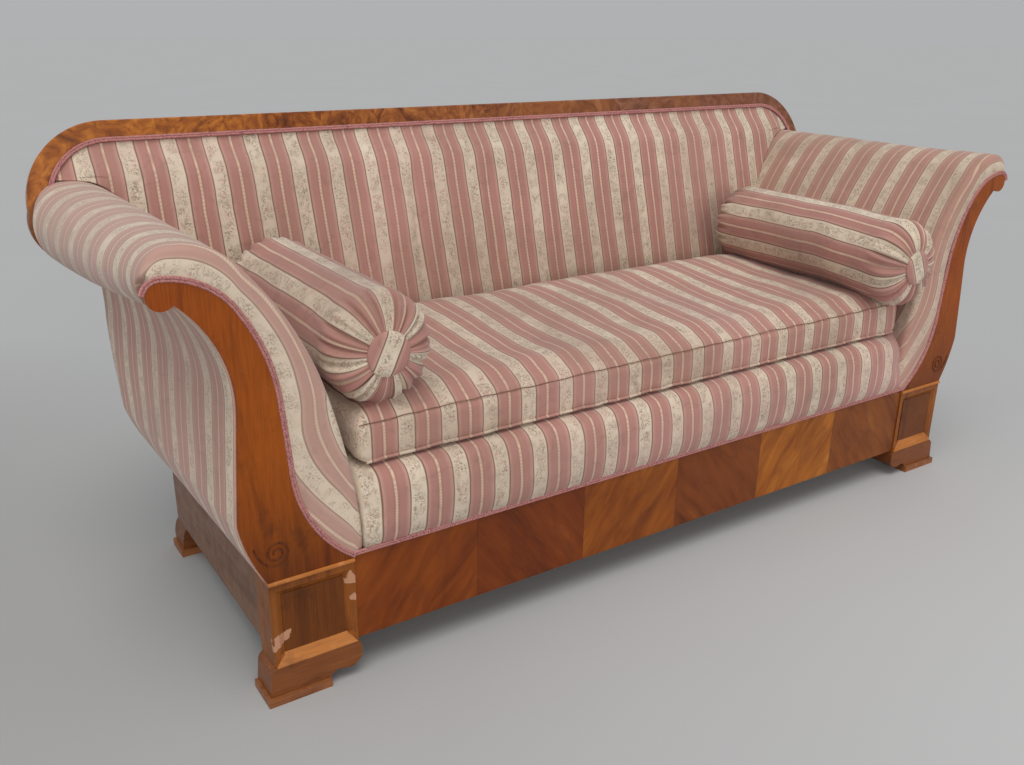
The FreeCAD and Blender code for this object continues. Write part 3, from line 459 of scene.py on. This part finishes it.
def deck_place(s, t):
    y, z = spline_through(deck_line, t)
    x = (2 * s - 1) * DECK_REACH
    front = 1 - blend(y, 0.0, 0.05)
    end = blend(abs(x), DECK_REACH - 0.045, DECK_REACH) * front * blend(z, 0.27, 0.34)
    y += 0.016 * end + 0.0022 * front * ripple(x, 0, z, 0.045) + 0.002 * front * ripple(x, 3, z, 0.11)
    z -= 0.010 * end
    return (x, y + FRONT, z)


deck = lay("deck_cloth", 260, 110, deck_place, striped("deck_stripe", "X", 0.5), closed=True)
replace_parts(deck, "seat_deck")

# Seat cushion: a boxed case of the same cloth, filled with feather. It is
# blown up as cloth, and then its front droops, its ends widen between the
# arms and its seams draw in.
CUSHION_REACH = 0.7575
CUSHION_LOW, CUSHION_HIGH = 0.412, 0.500
FRAME_DEPTH = 0.600
LEAN = math.radians(15.5)
# The top seam is a thin dark cord: the stitch line, its dark colour partly painted shade of the seam's groove.
f = Finish("seam_thread_and_painted_shade", 0.9)
thread = f.done(f.ramp(f.cloudy(f.where, 90.0), (0.3, shade(104, 74, 60)), (0.7, shade(146, 110, 94))))
bm = bmesh.new()
bmesh.ops.create_cube(bm, size=1.0)
for v in bm.verts:
    z = CUSHION_HIGH if v.co.z > 0 else CUSHION_LOW
    y = 0.575 + (z - CUSHION_LOW) * 0.277 if v.co.y > 0 else 0.013
    v.co = (v.co.x * 2 * (CUSHION_REACH - 0.010), FRONT + y, z)
bmesh.ops.bevel(bm, geom=bm.edges, offset=0.017, segments=4, profile=0.5, affect="EDGES")
cushion_stripe = striped("cushion_stripe", "X", 0.5, soiled=0.5, tint=(0.12, shade(176, 132, 116)))
cushion = piece("cushion_cloth", bm, cushion_stripe, "cushion")


def rake(depth, z):
    """Depth of a plane of the raked back at height z, from the block's front."""
    return FRAME_DEPTH - (FRAME_DEPTH - depth) / math.cos(LEAN) + (z - BLOCK_TOP) * math.tan(LEAN)


def stuffed(obj, voxel, cap):
    """Blow a piece up as cloth, and keep each point within cap of where it was."""
    bpy.context.view_layer.objects.active = obj
    remesh = obj.modifiers.new("cells", "REMESH")
    remesh.mode = "VOXEL"
    remesh.voxel_size = voxel
    bpy.ops.object.select_all(action="DESELECT")
    obj.select_set(True)
    bpy.ops.object.modifier_apply(modifier="cells")
    start = [v.co.copy() for v in obj.data.vertices]
    cloth = obj.modifiers.new("blown", "CLOTH")
    cloth.settings.use_pressure = True
    cloth.settings.uniform_pressure_force = 4.0
    cloth.settings.effector_weights.gravity = 0.0
    cloth.settings.quality = 5
    cloth.collision_settings.use_collision = False
    for step in range(1, 21):
        bpy.context.scene.frame_set(step)
    bpy.ops.object.modifier_apply(modifier="blown")
    bpy.context.scene.frame_set(1)
    for v, rest in zip(obj.data.vertices, start):
        shift = v.co - rest
        if shift.length > cap:
            v.co = rest + shift * (cap / shift.length)
    finer = obj.modifiers.new("finer", "SUBSURF")
    finer.levels = finer.render_levels = 1
    bpy.ops.object.modifier_apply(modifier="finer")
    for polygon in obj.data.polygons:
        polygon.use_smooth = True


stuffed(cushion, voxel=0.0096, cap=0.018)
CROWN, DROOP, WIDENED = 0.020, 0.012, 0.024
TOP_SEAM, LOW_SEAM = 0.485, 0.413
SEAM_STEP = 0.01
seam_line = {TOP_SEAM: {}, LOW_SEAM: {}}
for v in cushion.data.vertices:
    x, y, z = v.co.x, v.co.y - FRONT, v.co.z
    on_top = blend(z, 0.46, 0.50)
    lifted = CROWN * on_top * blend(y, 0.12, 0.5) * (1 - blend(abs(x), 0.5, 0.72))
    sagged = 0.009 * on_top * ripple(x, y, 0, 0.2) + 0.0022 * ripple(x, y, z, 0.06)
    z += lifted + sagged - DROOP * (1 - blend(y, 0.0, 0.11))
    front = 1 - blend(y, 0.0, 0.04)
    y -= front * 0.008 * (1 - blend(z, 0.42, 0.48))
    x += math.copysign(WIDENED * blend(abs(x), 0.5, 0.75) * blend(z, 0.395, 0.425), x)
    for seam in seam_line:
        near = math.exp(-((z - seam) / 0.007) ** 2)
        y += front * near * (0.005 + 0.003 * ripple(x, 0, seam, 0.02))
    y += front * 0.006 * ripple(x, 5, z, 0.14)
    # the cushion stops at the back, at both arms and on the deck
    rear = rake(0.545, z) - 0.003
    beside = 0.7595 + 0.133 * max(0.0, z - 0.405) + 0.1 * max(0.0, z - 0.42)
    under = 0.4045 - 0.015 * (1 - blend(y, 0.0, 0.045))
    v.co = (max(-beside, min(beside, x)), min(y, rear) + FRONT, max(z, under))
    for seam, line in seam_line.items():
        if abs(z - seam) < 0.006 and y < 0.04:
            step = round(x / SEAM_STEP)
            line[step] = min(y, line.get(step, 1.0))
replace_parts(cushion, "seat_cushion")
# each seam's finish, height, radius, how far it stands proud and ends short
SEAMS = (("cushion_top_seam", thread, TOP_SEAM, 0.0009, 0.0, 0.004),
         ("cushion_low_welt", cushion_stripe, LOW_SEAM, 0.0032, 0.0005, 0.012))
for name, finish, seam, radius, proud, short in SEAMS:
    line = seam_line[seam]
    path = []
    for step in sorted(line):
        near = [line[k] for k in range(step - 2, step + 3) if k in line]
        x = step * SEAM_STEP
        if abs(x) < CUSHION_REACH - short:
            y = sum(near) / len(near) - proud + FRONT
            path.append((x, y, seam + 0.0022 * ripple(x, 1, seam, 0.03)))
    corded(name, [path], finish, radius, "cushion")

# Bolsters: a tube of the cloth with its stripes lengthwise, gathered at each
# end with a running thread and finished with a flat covered button.
BOLSTER_ROUND = 0.102
BOLSTER_AXIS = 0.6126
BOLSTER_REST = 0.5055
SHOULDER = 0.07
MOUTH = 0.037
FOLD_DEPTH = 0.0076
BUTTON_ROUND = 0.042
BUTTON_HALF = 0.0065


def bolster(name, side, spot, rear, length, droop, plump):
    """One bolster, from its rear end forward, with its two buttons."""
    def radius_at(d):
        end = min(d, length - d)
        body = BOLSTER_ROUND + plump * (1 - blend(d, 0.0, 0.16)) - 0.001
        if end > SHOULDER:
            return body
        k = 1 - end / SHOULDER
        return MOUTH + (body - MOUTH) * math.sqrt(max(0.0, 1 - k ** 2.4))

    def place(s, t):
        # the ends take half of the rows, so that their folds stay fine
        d = length * (0.5 - 0.5 * math.cos(math.pi * t))
        angle = 2 * math.pi * s
        radius = radius_at(d)
        end = min(d, length - d)
        gather = (1 - blend(end, 0.002, 0.09)) * blend(radius, 0.036, 0.05)
        turned = angle * 9.5 + 1.1 * math.sin(angle * 2 + side) + 0.6 * math.sin(angle * 5 + 3 * (d > 0.3))
        folds = 2 * abs(math.sin(turned)) ** 0.6 - 1.2 + 0.25 * math.sin(angle * 37)
        radius += FOLD_DEPTH * gather * folds
        across, rise = math.sin(angle), math.cos(angle)
        x = radius * across + 0.003 * ripple(across, d * 8, rise, 0.9)
        z = radius * rise + 0.003 * ripple(across + 7, d * 8, rise, 0.9)
        sag = droop * (1 - blend(d, 0.0, 0.3)) ** 1.5
        tuck = 0.002 * gather * (1.1 - folds)
        d += tuck if d < 0.3 else -tuck
        return (side * spot + x, rear - length + d + FRONT, max(BOLSTER_AXIS + z - sag, BOLSTER_REST - sag))

    around = 7 * REPEAT
    ending = "_left" if side < 0 else "_right"
    cloth = striped(name + "_stripe", "map", 0.1 if side < 0 else 0.35, soiled=0.5)
    tube = lay(name + "_cloth", 400, 150, place, cloth, name, spots=lambda s, t: (s * around, t * length),
               closed=True)
    buttons = bmesh.new()
    uv = buttons.loops.layers.uv.new("UVMap")
    for d, sag in ((0.0, droop), (length, 0.0)):
        middle = Vector((side * spot, rear - length + d + FRONT, BOLSTER_AXIS - sag))
        made = bmesh.ops.create_uvsphere(buttons, u_segments=48, v_segments=24, radius=1.0)["verts"]
        for v in made:
            # a ball pressed flat until only its rim is still round
            x, y, z = v.co
            thick = BUTTON_HALF * (1 - min(1.0, math.hypot(x, z)) ** 5) ** 0.5
            v.co = middle + Vector((BUTTON_ROUND * x, math.copysign(thick, y), BUTTON_ROUND * z))
            slanted = Vector((x * 0.9 + side * z * 0.44, z * 0.9 - side * x * 0.44))
            for loop in v.link_loops:
                loop[uv].uv = BUTTON_ROUND * slanted
    for face in buttons.faces:
        face.smooth = True
    button_cloth = striped(name + "_disc_stripe", "map", 0.205, soiled=0.3)
    ends = piece(name + "_disc_cloth", buttons, button_cloth, name)
    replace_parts(tube, "bolster" + ending)
    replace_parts(ends, "bolster_discs" + ending)


bolster("left_bolster", -1, spot=0.689, rear=0.613, length=0.588, droop=0.004, plump=0.004)
bolster("right_bolster", 1, spot=0.711, rear=0.581, length=0.616, droop=0.016, plump=0.007)


# Arms: horsehair and cloth from the deck up over the roll, turned round the
# front edge and tacked along the stile. Sections are in millimetres, inward
# from the block's outer face and up from its top.
def bow(start, middle, end, count):
    """Points along the circle through three, without the first."""
    a, m, b = complex(*start), complex(*middle), complex(*end)
    w = (b - a) / (m - a)
    centre = a - (a - m) * (w - abs(w) ** 2) / (2j * w.imag)
    sweep = cmath.phase((b - centre) / (a - centre))
    return [centre + (a - centre) * cmath.exp(1j * sweep * (k + 1) / count) for k in range(count)]


def straight(start, end, count):
    """Even steps along a line, without the first point."""
    a, b = complex(*start), complex(*end)
    return [a + (b - a) * (k + 1) / count for k in range(count)]


def circle_point(centre, radius, degrees):
    angle = math.radians(degrees)
    return (centre[0] + radius * math.cos(angle), centre[1] + radius * math.sin(angle))


# steps round each part of the section, then the middles of the roll
HEEL_STEPS, SHIN_STEPS, BACK_STEPS, CREST_STEPS, ROLL_STEPS, UNDER_STEPS = 4, 16, 18, 12, 12, 10
SEEN = HEEL_STEPS + SHIN_STEPS + BACK_STEPS + CREST_STEPS + ROLL_STEPS + UNDER_STEPS
FRONT_ROLL, REAR_ROLL = (-96, 555), (-112, 519)


def arm_line(roll, radius, splay, inset):
    """Section of the padded arm, from the deck round the roll and back."""
    half = 0.5 * inset
    radius -= inset
    foot, heel = (184 - inset, 12), (184 - inset, 62)
    waist = (134 - inset - splay / 2, 327)
    crest = (8 - splay - half, 556 - 0.86 * inset)
    top, side, low = (circle_point(roll, radius, a) for a in (90, 180, 270))
    line = [complex(*foot)] + straight(foot, heel, HEEL_STEPS)
    line += bow(heel, (168 - inset, 182), waist, SHIN_STEPS)
    line += bow(waist, (80 - splay - 0.86 * inset, 456 - half), crest, BACK_STEPS)
    line += bow(crest, (-33 - splay - half / 2, 591 - inset), top, CREST_STEPS)
    line += bow(top, circle_point(roll, radius, 135), side, ROLL_STEPS)
    line += bow(side, circle_point(roll, radius, 225), low, UNDER_STEPS)
    inside = ((-40, 506), (14, 402), (44, 162), (133, 12))
    for one, other, count in zip((low, *inside), (*inside, foot), (3, 3, 4, 4, 3)):
        line += straight(one, other, count)
    return line


EDGE_ROUND = 14.0
arm_inset = arm_line(FRONT_ROLL, radius=50, splay=0, inset=EDGE_ROUND)
arm_front = arm_line(FRONT_ROLL, radius=50, splay=0, inset=0)
arm_rear = arm_line(REAR_ROLL, radius=81, splay=22, inset=0)
tacked = [complex(161, 9)] + straight((161, 9), (130, 34), 4) + bow((130, 34), (84, 92), (46, 300), 16)
tacked += bow((46, 300), (30, 412), (-8, 488), 18) + bow((-8, 488), (-50, 533), (-112, 554), 12)
tacked += bow((-112, 554), (-134, 549), (-142, 534), 12) + bow((-142, 534), (-136, 516), (-119, 509), 10)
tacked += arm_inset[SEEN + 1:]
COLUMNS = len(arm_front) - 1
FACE_ROWS = 6
TURN_ROWS = 6
DEPTH_ROWS = 84
ROWS = 1 + FACE_ROWS + TURN_ROWS + DEPTH_ROWS
STILE_BACK = 34.0
FACE_DEPTH = 3.0
ARM_START = FACE_DEPTH + EDGE_ROUND
ARM_LENGTH = 760
ARM_END = 0.574
# where the cloth puckers at its tacks, hangs under the roll and is tucked in behind
PUCKERED = range(27, SEEN - 14)
HANGING = range(SEEN - 23, SEEN + 1)
TUCKED_IN = range(SEEN - 19, SEEN + 1)


def arm_spot(i, j):
    """Point i round the arm's section and j back from its tacked edge: u, y, z in metres."""
    if j == 0:
        point, y = tacked[i], STILE_BACK
    elif j <= FACE_ROWS:
        k = (j - 1) / FACE_ROWS
        point = tacked[i] + (arm_inset[i] - tacked[i]) * k
        y = 4.0 - 5.0 * math.sin(math.pi * k)
        if i in PUCKERED:
            y += 1.3 * (-1) ** i * (1 - k) * blend(i, 26, 36)
    elif j <= FACE_ROWS + TURN_ROWS:
        angle = (j - FACE_ROWS) / TURN_ROWS * math.pi / 2
        point = arm_inset[i] + (arm_front[i] - arm_inset[i]) * math.sin(angle)
        y = FACE_DEPTH + EDGE_ROUND * (1 - math.cos(angle))
    else:
        k = (j - FACE_ROWS - TURN_ROWS) / DEPTH_ROWS
        share = k
        for _ in range(3):
            point = arm_front[i] + (arm_rear[i] - arm_front[i]) * share
            end = rake(ARM_END, BLOCK_TOP + point.imag / 1000) * 1000
            y = ARM_START + (end - ARM_START) * k
            share = (y - ARM_START) / (ARM_LENGTH - ARM_START)
        if i in HANGING:
            low = max(0.0, 1 - abs(i - (SEEN - 7)) / 17)
            point -= complex(3.0, 13.0) * low * math.sin(math.pi * min(1.0, share)) ** 0.8
        if i in TUCKED_IN and k > 0.9:
            tuck = blend(k, 0.9, 1.0) ** 2 * blend(i, SEEN - 20, SEEN - 12)
            point += (complex(*REAR_ROLL) - point) * 0.12 * tuck
    u, z = point.real / 1000, BLOCK_TOP + point.imag / 1000
    y = max(y, STILE_BACK * blend(i, SEEN - 13, SEEN - 8))
    if j > FACE_ROWS and i <= SEEN:
        puff = 0.0016 * ripple(u, y / 1000, z, 0.07) + 0.003 * ripple(u, y / 1000, z, 0.25)
        puff *= blend(y, 20, 120) * (1 - blend(j, ROWS - 4, ROWS))
        u -= puff
        z += puff
    return u, y / 1000, z


def arm_map(i, j):
    """Place on the cloth: back from the tacked edge, and up along it."""
    y = arm_spot(i, j)[1]
    width = abs(arm_inset[i] - tacked[i]) / 1000 if i <= SEEN else 0.06
    slant = -0.045 * (1 - blend(arm_inset[i].imag, 90, 330))
    if j <= FACE_ROWS:
        back = slant + max(0, j - 1) / FACE_ROWS * width
    else:
        settle = blend(y, 0.003, 0.12)
        back = (width + slant) * (1 - settle) + 0.072 * settle + 0.008 + y
    return back, sum(abs(arm_front[k + 1] - arm_front[k]) for k in range(i)) / 1000


for side, ending in SIDES:
    def arm_place(s, t, side=side):
        u, y, z = arm_spot(round(s * COLUMNS) % COLUMNS, round(t * ROWS))
        return (side * (BLOCK_FACE - u), y + FRONT, z)

    # The left arm's cloth is painted paler and less soiled and the right arm's darker and browner: painted
    # light on the left arm, painted shade on the right.
    soiled = 0.3 if side < 0 else 0.5
    tint = (0.28, shade(212, 190, 170)) if side < 0 else (0.24, shade(190, 160, 134))
    cloth = striped("arm_stripe" + ending, "map", -0.04, soiled=soiled, tint=tint)
    pad = lay("arm_cloth" + ending, COLUMNS, ROWS, arm_place, cloth, closed=True,
              spots=lambda s, t: arm_map(round(s * COLUMNS), round(t * ROWS)))
    smooth = pad.modifiers.new("smooth", "SUBSURF")
    smooth.levels = smooth.render_levels = 1
    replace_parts(pad, "arm_pad" + ending)

# Outside of the arms: one width of the cloth, drawn tight from under the
# roll down to the apron and tacked at its edges.
outer_front = [complex(-3, 9)] + bow((-3, 9), (-26, 60), (-43, 125), 12)
outer_front += bow((-43, 125), (-36, 217), (-27, 318), 14) + bow((-27, 318), (-46, 438), (-105, 517), 18)
outer_rear = [complex(-14, 9)] + bow((-14, 9), (-54, 67), (-80, 134), 12)
outer_rear += bow((-80, 134), (-83, 227), (-80, 322), 14) + bow((-80, 322), (-76, 412), (-82, 470), 18)
LEVELS = len(outer_front) - 1
OUTER_START = 6


def outer_spot(s, t):
    """A point s up and t back over the outside of the arm: u, y, z in metres."""
    i = round(s * LEVELS)
    share = t
    for _ in range(3):
        point = outer_front[i] + (outer_rear[i] - outer_front[i]) * share
        end = rake(0.599, BLOCK_TOP + point.imag / 1000) * 1000
        y = OUTER_START + (end - OUTER_START) * t
        share = y / ARM_LENGTH
    return point.real / 1000, y / 1000, BLOCK_TOP + point.imag / 1000


for side, ending in SIDES:
    def outer_place(s, t, side=side):
        u, y, z = outer_spot(s, t)
        u += 0.0012 * ripple(u, y, z, 0.09)
        return (side * (BLOCK_FACE - u), y + FRONT, z)

    cloth = striped("outer_stripe" + ending, "map", -0.1, 1.07, 0.4, tint=(0.2, shade(204, 174, 150)))
    outer = lay("outer_arm_cloth" + ending, LEVELS, 70, outer_place, cloth,
                spots=lambda s, t: (outer_spot(s, t)[1], s * 0.52))
    thick = outer.modifiers.new("cloth", "SOLIDIFY")
    thick.thickness = 0.0034
    thick.offset = -1.0
    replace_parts(outer, "outer_arm_panel" + ending)

# Back: a thin even stuffing over webbing, with the cloth drawn flat to the
# crest and soft upright creases where it has slackened.
CREST_END = 0.9605
CREST_BEND = 0.124
CREST_FACE = 0.036
CREST_TOP = BLOCK_TOP + (0.714 - 0.026 * math.sin(LEAN)) / math.cos(LEAN)
PAD_TOP = CREST_TOP - CREST_FACE - 0.010
PAD_LOW = 0.404
BACK_FOLDS = ((-0.29, 0.011), (-0.235, 0.004), (-0.08, 0.005), (0.13, 0.005), (0.42, 0.004))


def lean_back(x, depth, level):
    """A point of the raked back, from its depth and its height up the slope."""
    back, rise = depth - FRAME_DEPTH, level - BLOCK_TOP
    return (x, FRAME_DEPTH + back * math.cos(LEAN) + rise * math.sin(LEAN) + FRONT,
            BLOCK_TOP - back * math.sin(LEAN) + rise * math.cos(LEAN))


def back_reach(level):
    """Half the width of the pad at a height up its slope."""
    z = BLOCK_TOP + (level - BLOCK_TOP) * math.cos(LEAN) + 0.034 * math.sin(LEAN)
    rise = (z - BLOCK_TOP) * 1000
    share = (rake(0.556, z) * 1000 - ARM_START) / (ARM_LENGTH - ARM_START)
    line = [a + (b - a) * share for a, b in zip(arm_front, arm_rear)][:SEEN - 21]
    best = 9.0
    for a, b in zip(line, line[1:]):
        if min(a.imag, b.imag) <= rise <= max(a.imag, b.imag) and abs(b.imag - a.imag) > 1e-6:
            k = (rise - a.imag) / (b.imag - a.imag)
            best = min(best, BLOCK_FACE - (a.real + (b.real - a.real) * k) / 1000 + 0.005)
    return best


def round_corner(level, centre, bend):
    """Half the width inside a crest's corner of this bend, at a height over its centre."""
    return CREST_END + math.sqrt(max(0.0, bend ** 2 - (level - centre) ** 2))


def back_place(s, t):
    level = PAD_LOW + (PAD_TOP - PAD_LOW) * (1 - (1 - t) ** 1.25)
    corner = CREST_END + CREST_BEND
    if level > PAD_TOP - CREST_BEND:
        corner = round_corner(level, PAD_TOP - CREST_BEND, CREST_BEND)
    x = (2 * s - 1) * min(corner, back_reach(level))
    edge = min(PAD_TOP - level, corner - abs(x))
    crown = 0.030 * math.sin(math.pi / 2 * blend(edge, 0.0, 0.11)) - 0.002
    crease = 0.0016 * ripple(x * 5, 0, level, 0.16) + 0.003 * ripple(x, 2, level, 0.3)
    fold = sum(rise * math.exp(-((x - spot - 0.06 * (level - 0.6)) / 0.012) ** 2) for spot, rise in BACK_FOLDS)
    fold *= blend(level, 0.45, 0.6) * (1 - blend(level, 0.76, 0.86))
    return lean_back(x, 0.569 - crown - (crease - fold) * blend(edge, 0.0, 0.06), level)


# The back cloth is painted darker towards the seat: painted shade.
back_stripe = striped("back_stripe", "X", 0.5, soiled=0.4, painted_shade_heights=(0.44, 0.8))
back = lay("back_cloth", 300, 90, back_place, back_stripe)
stuffing = back.modifiers.new("stuffing", "SOLIDIFY")
stuffing.thickness = 0.004
stuffing.offset = -1.0
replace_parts(back, "back_pad")

# Plain cotton closes the outside of the back and the underside. It sags a
# little between its tacks.
f = Finish("backing_cotton", 0.85)
slub = f.cloudy(f.turned(scale=(1, 1, 0.2)), 260.0, 3.0)
cotton = f.done(f.ramp(slub, (0.3, shade(150, 128, 112)), (0.7, shade(186, 166, 148))), f.bump(slub, 0.0006))


COVER_LOW = 0.24
COVER_REACH = 1.1125
COVER_BEND = 0.152
COVER_DEPTH = 0.6022
cover_edge = [(0.24, 0.900), (0.45, 0.895), (0.56, 0.905), (0.66, 0.925), (0.735, 0.962), (0.775, 1.01),
              (0.80, 1.10)]


def cover_place(s, t):
    level = COVER_LOW + (CREST_TOP - 0.020 - COVER_LOW) * t
    centre = CREST_TOP - 0.018 - COVER_BEND
    half = round_corner(level, centre, COVER_BEND) if level > centre else COVER_REACH
    for (low, one), (high, other) in zip(cover_edge, cover_edge[1:]):
        if low <= level <= high and level < cover_edge[-1][0]:
            half = min(half, one + (other - one) * (level - low) / (high - low))
    x = (2 * s - 1) * half
    return lean_back(x, COVER_DEPTH + 0.0012 * ripple(x, 0, level, 0.3), level)


cover = lay("back_cotton", 120, 60, cover_place, cotton)
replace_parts(cover, "back_cover")


def under_place(s, t):
    sag = 0.008 * math.sin(math.pi * s) * math.sin(math.pi * t)
    return ((2 * s - 1) * 0.88, 0.072 + t * 0.490 + FRONT, 0.0985 - sag)


under = lay("under_cotton", 80, 30, under_place, cotton)
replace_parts(under, "dust_cover")

# Gimp: a double cord woven flat, glued over the tacks along the stiles,
# along the front rail and inside the crest.
GIMP_ROUND = 0.0026
CREST_GIMP_ROUND = 0.0028
GIMP_FACE = FRONT + 0.0005
f = Finish("gimp_braid", 0.8)
twist = f.cloudy(f.turned((0, 45, 0)), 330.0, 1.0)
knots = f.cloudy(f.where, 40.0, 2.0)
strands = f.ramp(twist, (0.35, shade(140, 84, 84)), (0.65, shade(196, 138, 136)))
rosy = f.mix(f.ramp(knots, (0.35, 0.0), (0.65, 0.6)), strands, shade(184, 128, 120))
braid = f.done(rosy, f.bump(twist, 0.0012, 0.9))

stile_edge = [complex(161, 9)] + bow((161, 9), (88, 89), (53, 211), 24)
stile_edge += bow((53, 211), (50, 252), (44, 320), 14) + bow((44, 320), (26, 415), (-8, 486), 18)
stile_edge += bow((-8, 486), (-50, 532), (-119, 554), 18) + bow((-119, 554), (-133, 549), (-141, 536), 8)
for side, ending in SIDES:
    paths = []
    for out in (2.6, 7.2):
        path = []
        for k, point in enumerate(stile_edge):
            ahead = stile_edge[min(k + 1, len(stile_edge) - 1)] - stile_edge[max(k - 1, 0)]
            moved = point - 1j * out * ahead / abs(ahead)
            path.append((side * (BLOCK_FACE - moved.real / 1000), GIMP_FACE, BLOCK_TOP + moved.imag / 1000))
        paths.append(path)
    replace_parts(corded("stile_gimp" + ending, paths, braid, GIMP_ROUND), "arm_gimp" + ending)
paths = [[(RAIL_REACH * (k / 30 - 1), GIMP_FACE, z) for k in range(61)] for z in (0.2528, 0.2572)]
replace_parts(corded("front_gimp", paths, braid, GIMP_ROUND), "rail_gimp")
paths = []
for inset in (0.0028, 0.0074):
    bend = 0.134 - inset
    top = CREST_TOP - CREST_FACE - inset
    corner = [(CREST_END + bend, top - bend - 0.03), (CREST_END + bend, top - bend)]
    for angle in range(5, 90, 5):
        a = math.radians(angle)
        corner.append((CREST_END + bend * math.cos(a), top - bend + bend * math.sin(a)))
    path = [(-x, level) for x, level in corner]
    path += [(CREST_END * (k / 30 - 1), top) for k in range(61)] + corner[::-1]
    paths.append([lean_back(x, 0.568, level) for x, level in path])
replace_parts(corded("crest_gimp", paths, braid, CREST_GIMP_ROUND), "back_gimp")

# Studio: a pale floor that runs back without an edge, with a pool of painted
# light to the front right and a pool of painted shade to the left, a wide soft
# lamp overhead and a weaker one from the front, and an even sky.
GREY = shade(176, 177, 179)
bm = bmesh.new()
bmesh.ops.create_grid(bm, x_segments=1, y_segments=1, size=60.0)
mesh = bpy.data.meshes.new("floor")
bm.to_mesh(mesh)
bm.free()
floor = bpy.data.objects.new("floor", mesh)
bpy.context.scene.collection.objects.link(floor)
f = Finish("floor_paint", 0.9)
paint = f.ramp(f.cloudy(f.where, 0.8, 3.0), (0.3, shade(178, 178, 178)), (0.7, shade(180, 180, 181)))
# painted light and shade on the floor: a lighter pool to the front right, a darker one to the left
LIGHT_AND_SHADE_POOLS = (((0.7, -2.0, 0), 2.0, shade(206, 206, 206)), ((-2.2, 0.7, 0), 1.9, shade(146, 146, 144)))
for spot, reach, colour in LIGHT_AND_SHADE_POOLS:
    away = f.add("VectorMath", f.where, spot, operation="DISTANCE", out=1)
    paint = f.mix(f.ramp(f.calc("DIVIDE", away, reach), (0.0, 1.0), (0.5, 0.5), (1.0, 0.0)), paint, colour)
mesh.materials.append(f.done(paint))

world = bpy.data.worlds.new("studio")
bpy.context.scene.world = world
world.use_nodes = True
tree = world.node_tree
sky = tree.nodes["Background"]
sky.inputs["Color"].default_value = (0.92, 0.96, 1.0, 1)
sky.inputs["Strength"].default_value = 0.5
seen = tree.nodes.new("ShaderNodeBackground")
seen.inputs["Color"].default_value = GREY
rays = tree.nodes.new("ShaderNodeLightPath")
either = tree.nodes.new("ShaderNodeMixShader")
tree.links.new(rays.outputs["Is Camera Ray"], either.inputs[0])
tree.links.new(sky.outputs[0], either.inputs[1])
tree.links.new(seen.outputs[0], either.inputs[2])
tree.links.new(either.outputs[0], tree.nodes["World Output"].inputs["Surface"])

for name, aim, strength in (("lamp_above", (0.3, 0.45, -1.4), 1.42), ("lamp_front", (0.2, 1.0, -0.2), 0.98)):
    lamp = bpy.data.lights.new(name, "SUN")
    lamp.energy = strength
    lamp.angle = math.radians(40)
    lamp.color = (1.0, 0.97, 0.93)
    holder = bpy.data.objects.new(name, lamp)
    holder.rotation_euler = Vector(aim).to_track_quat("-Z", "Y").to_euler()
    bpy.context.scene.collection.objects.link(holder)

bpy.context.scene.view_settings.view_transform = "Standard"
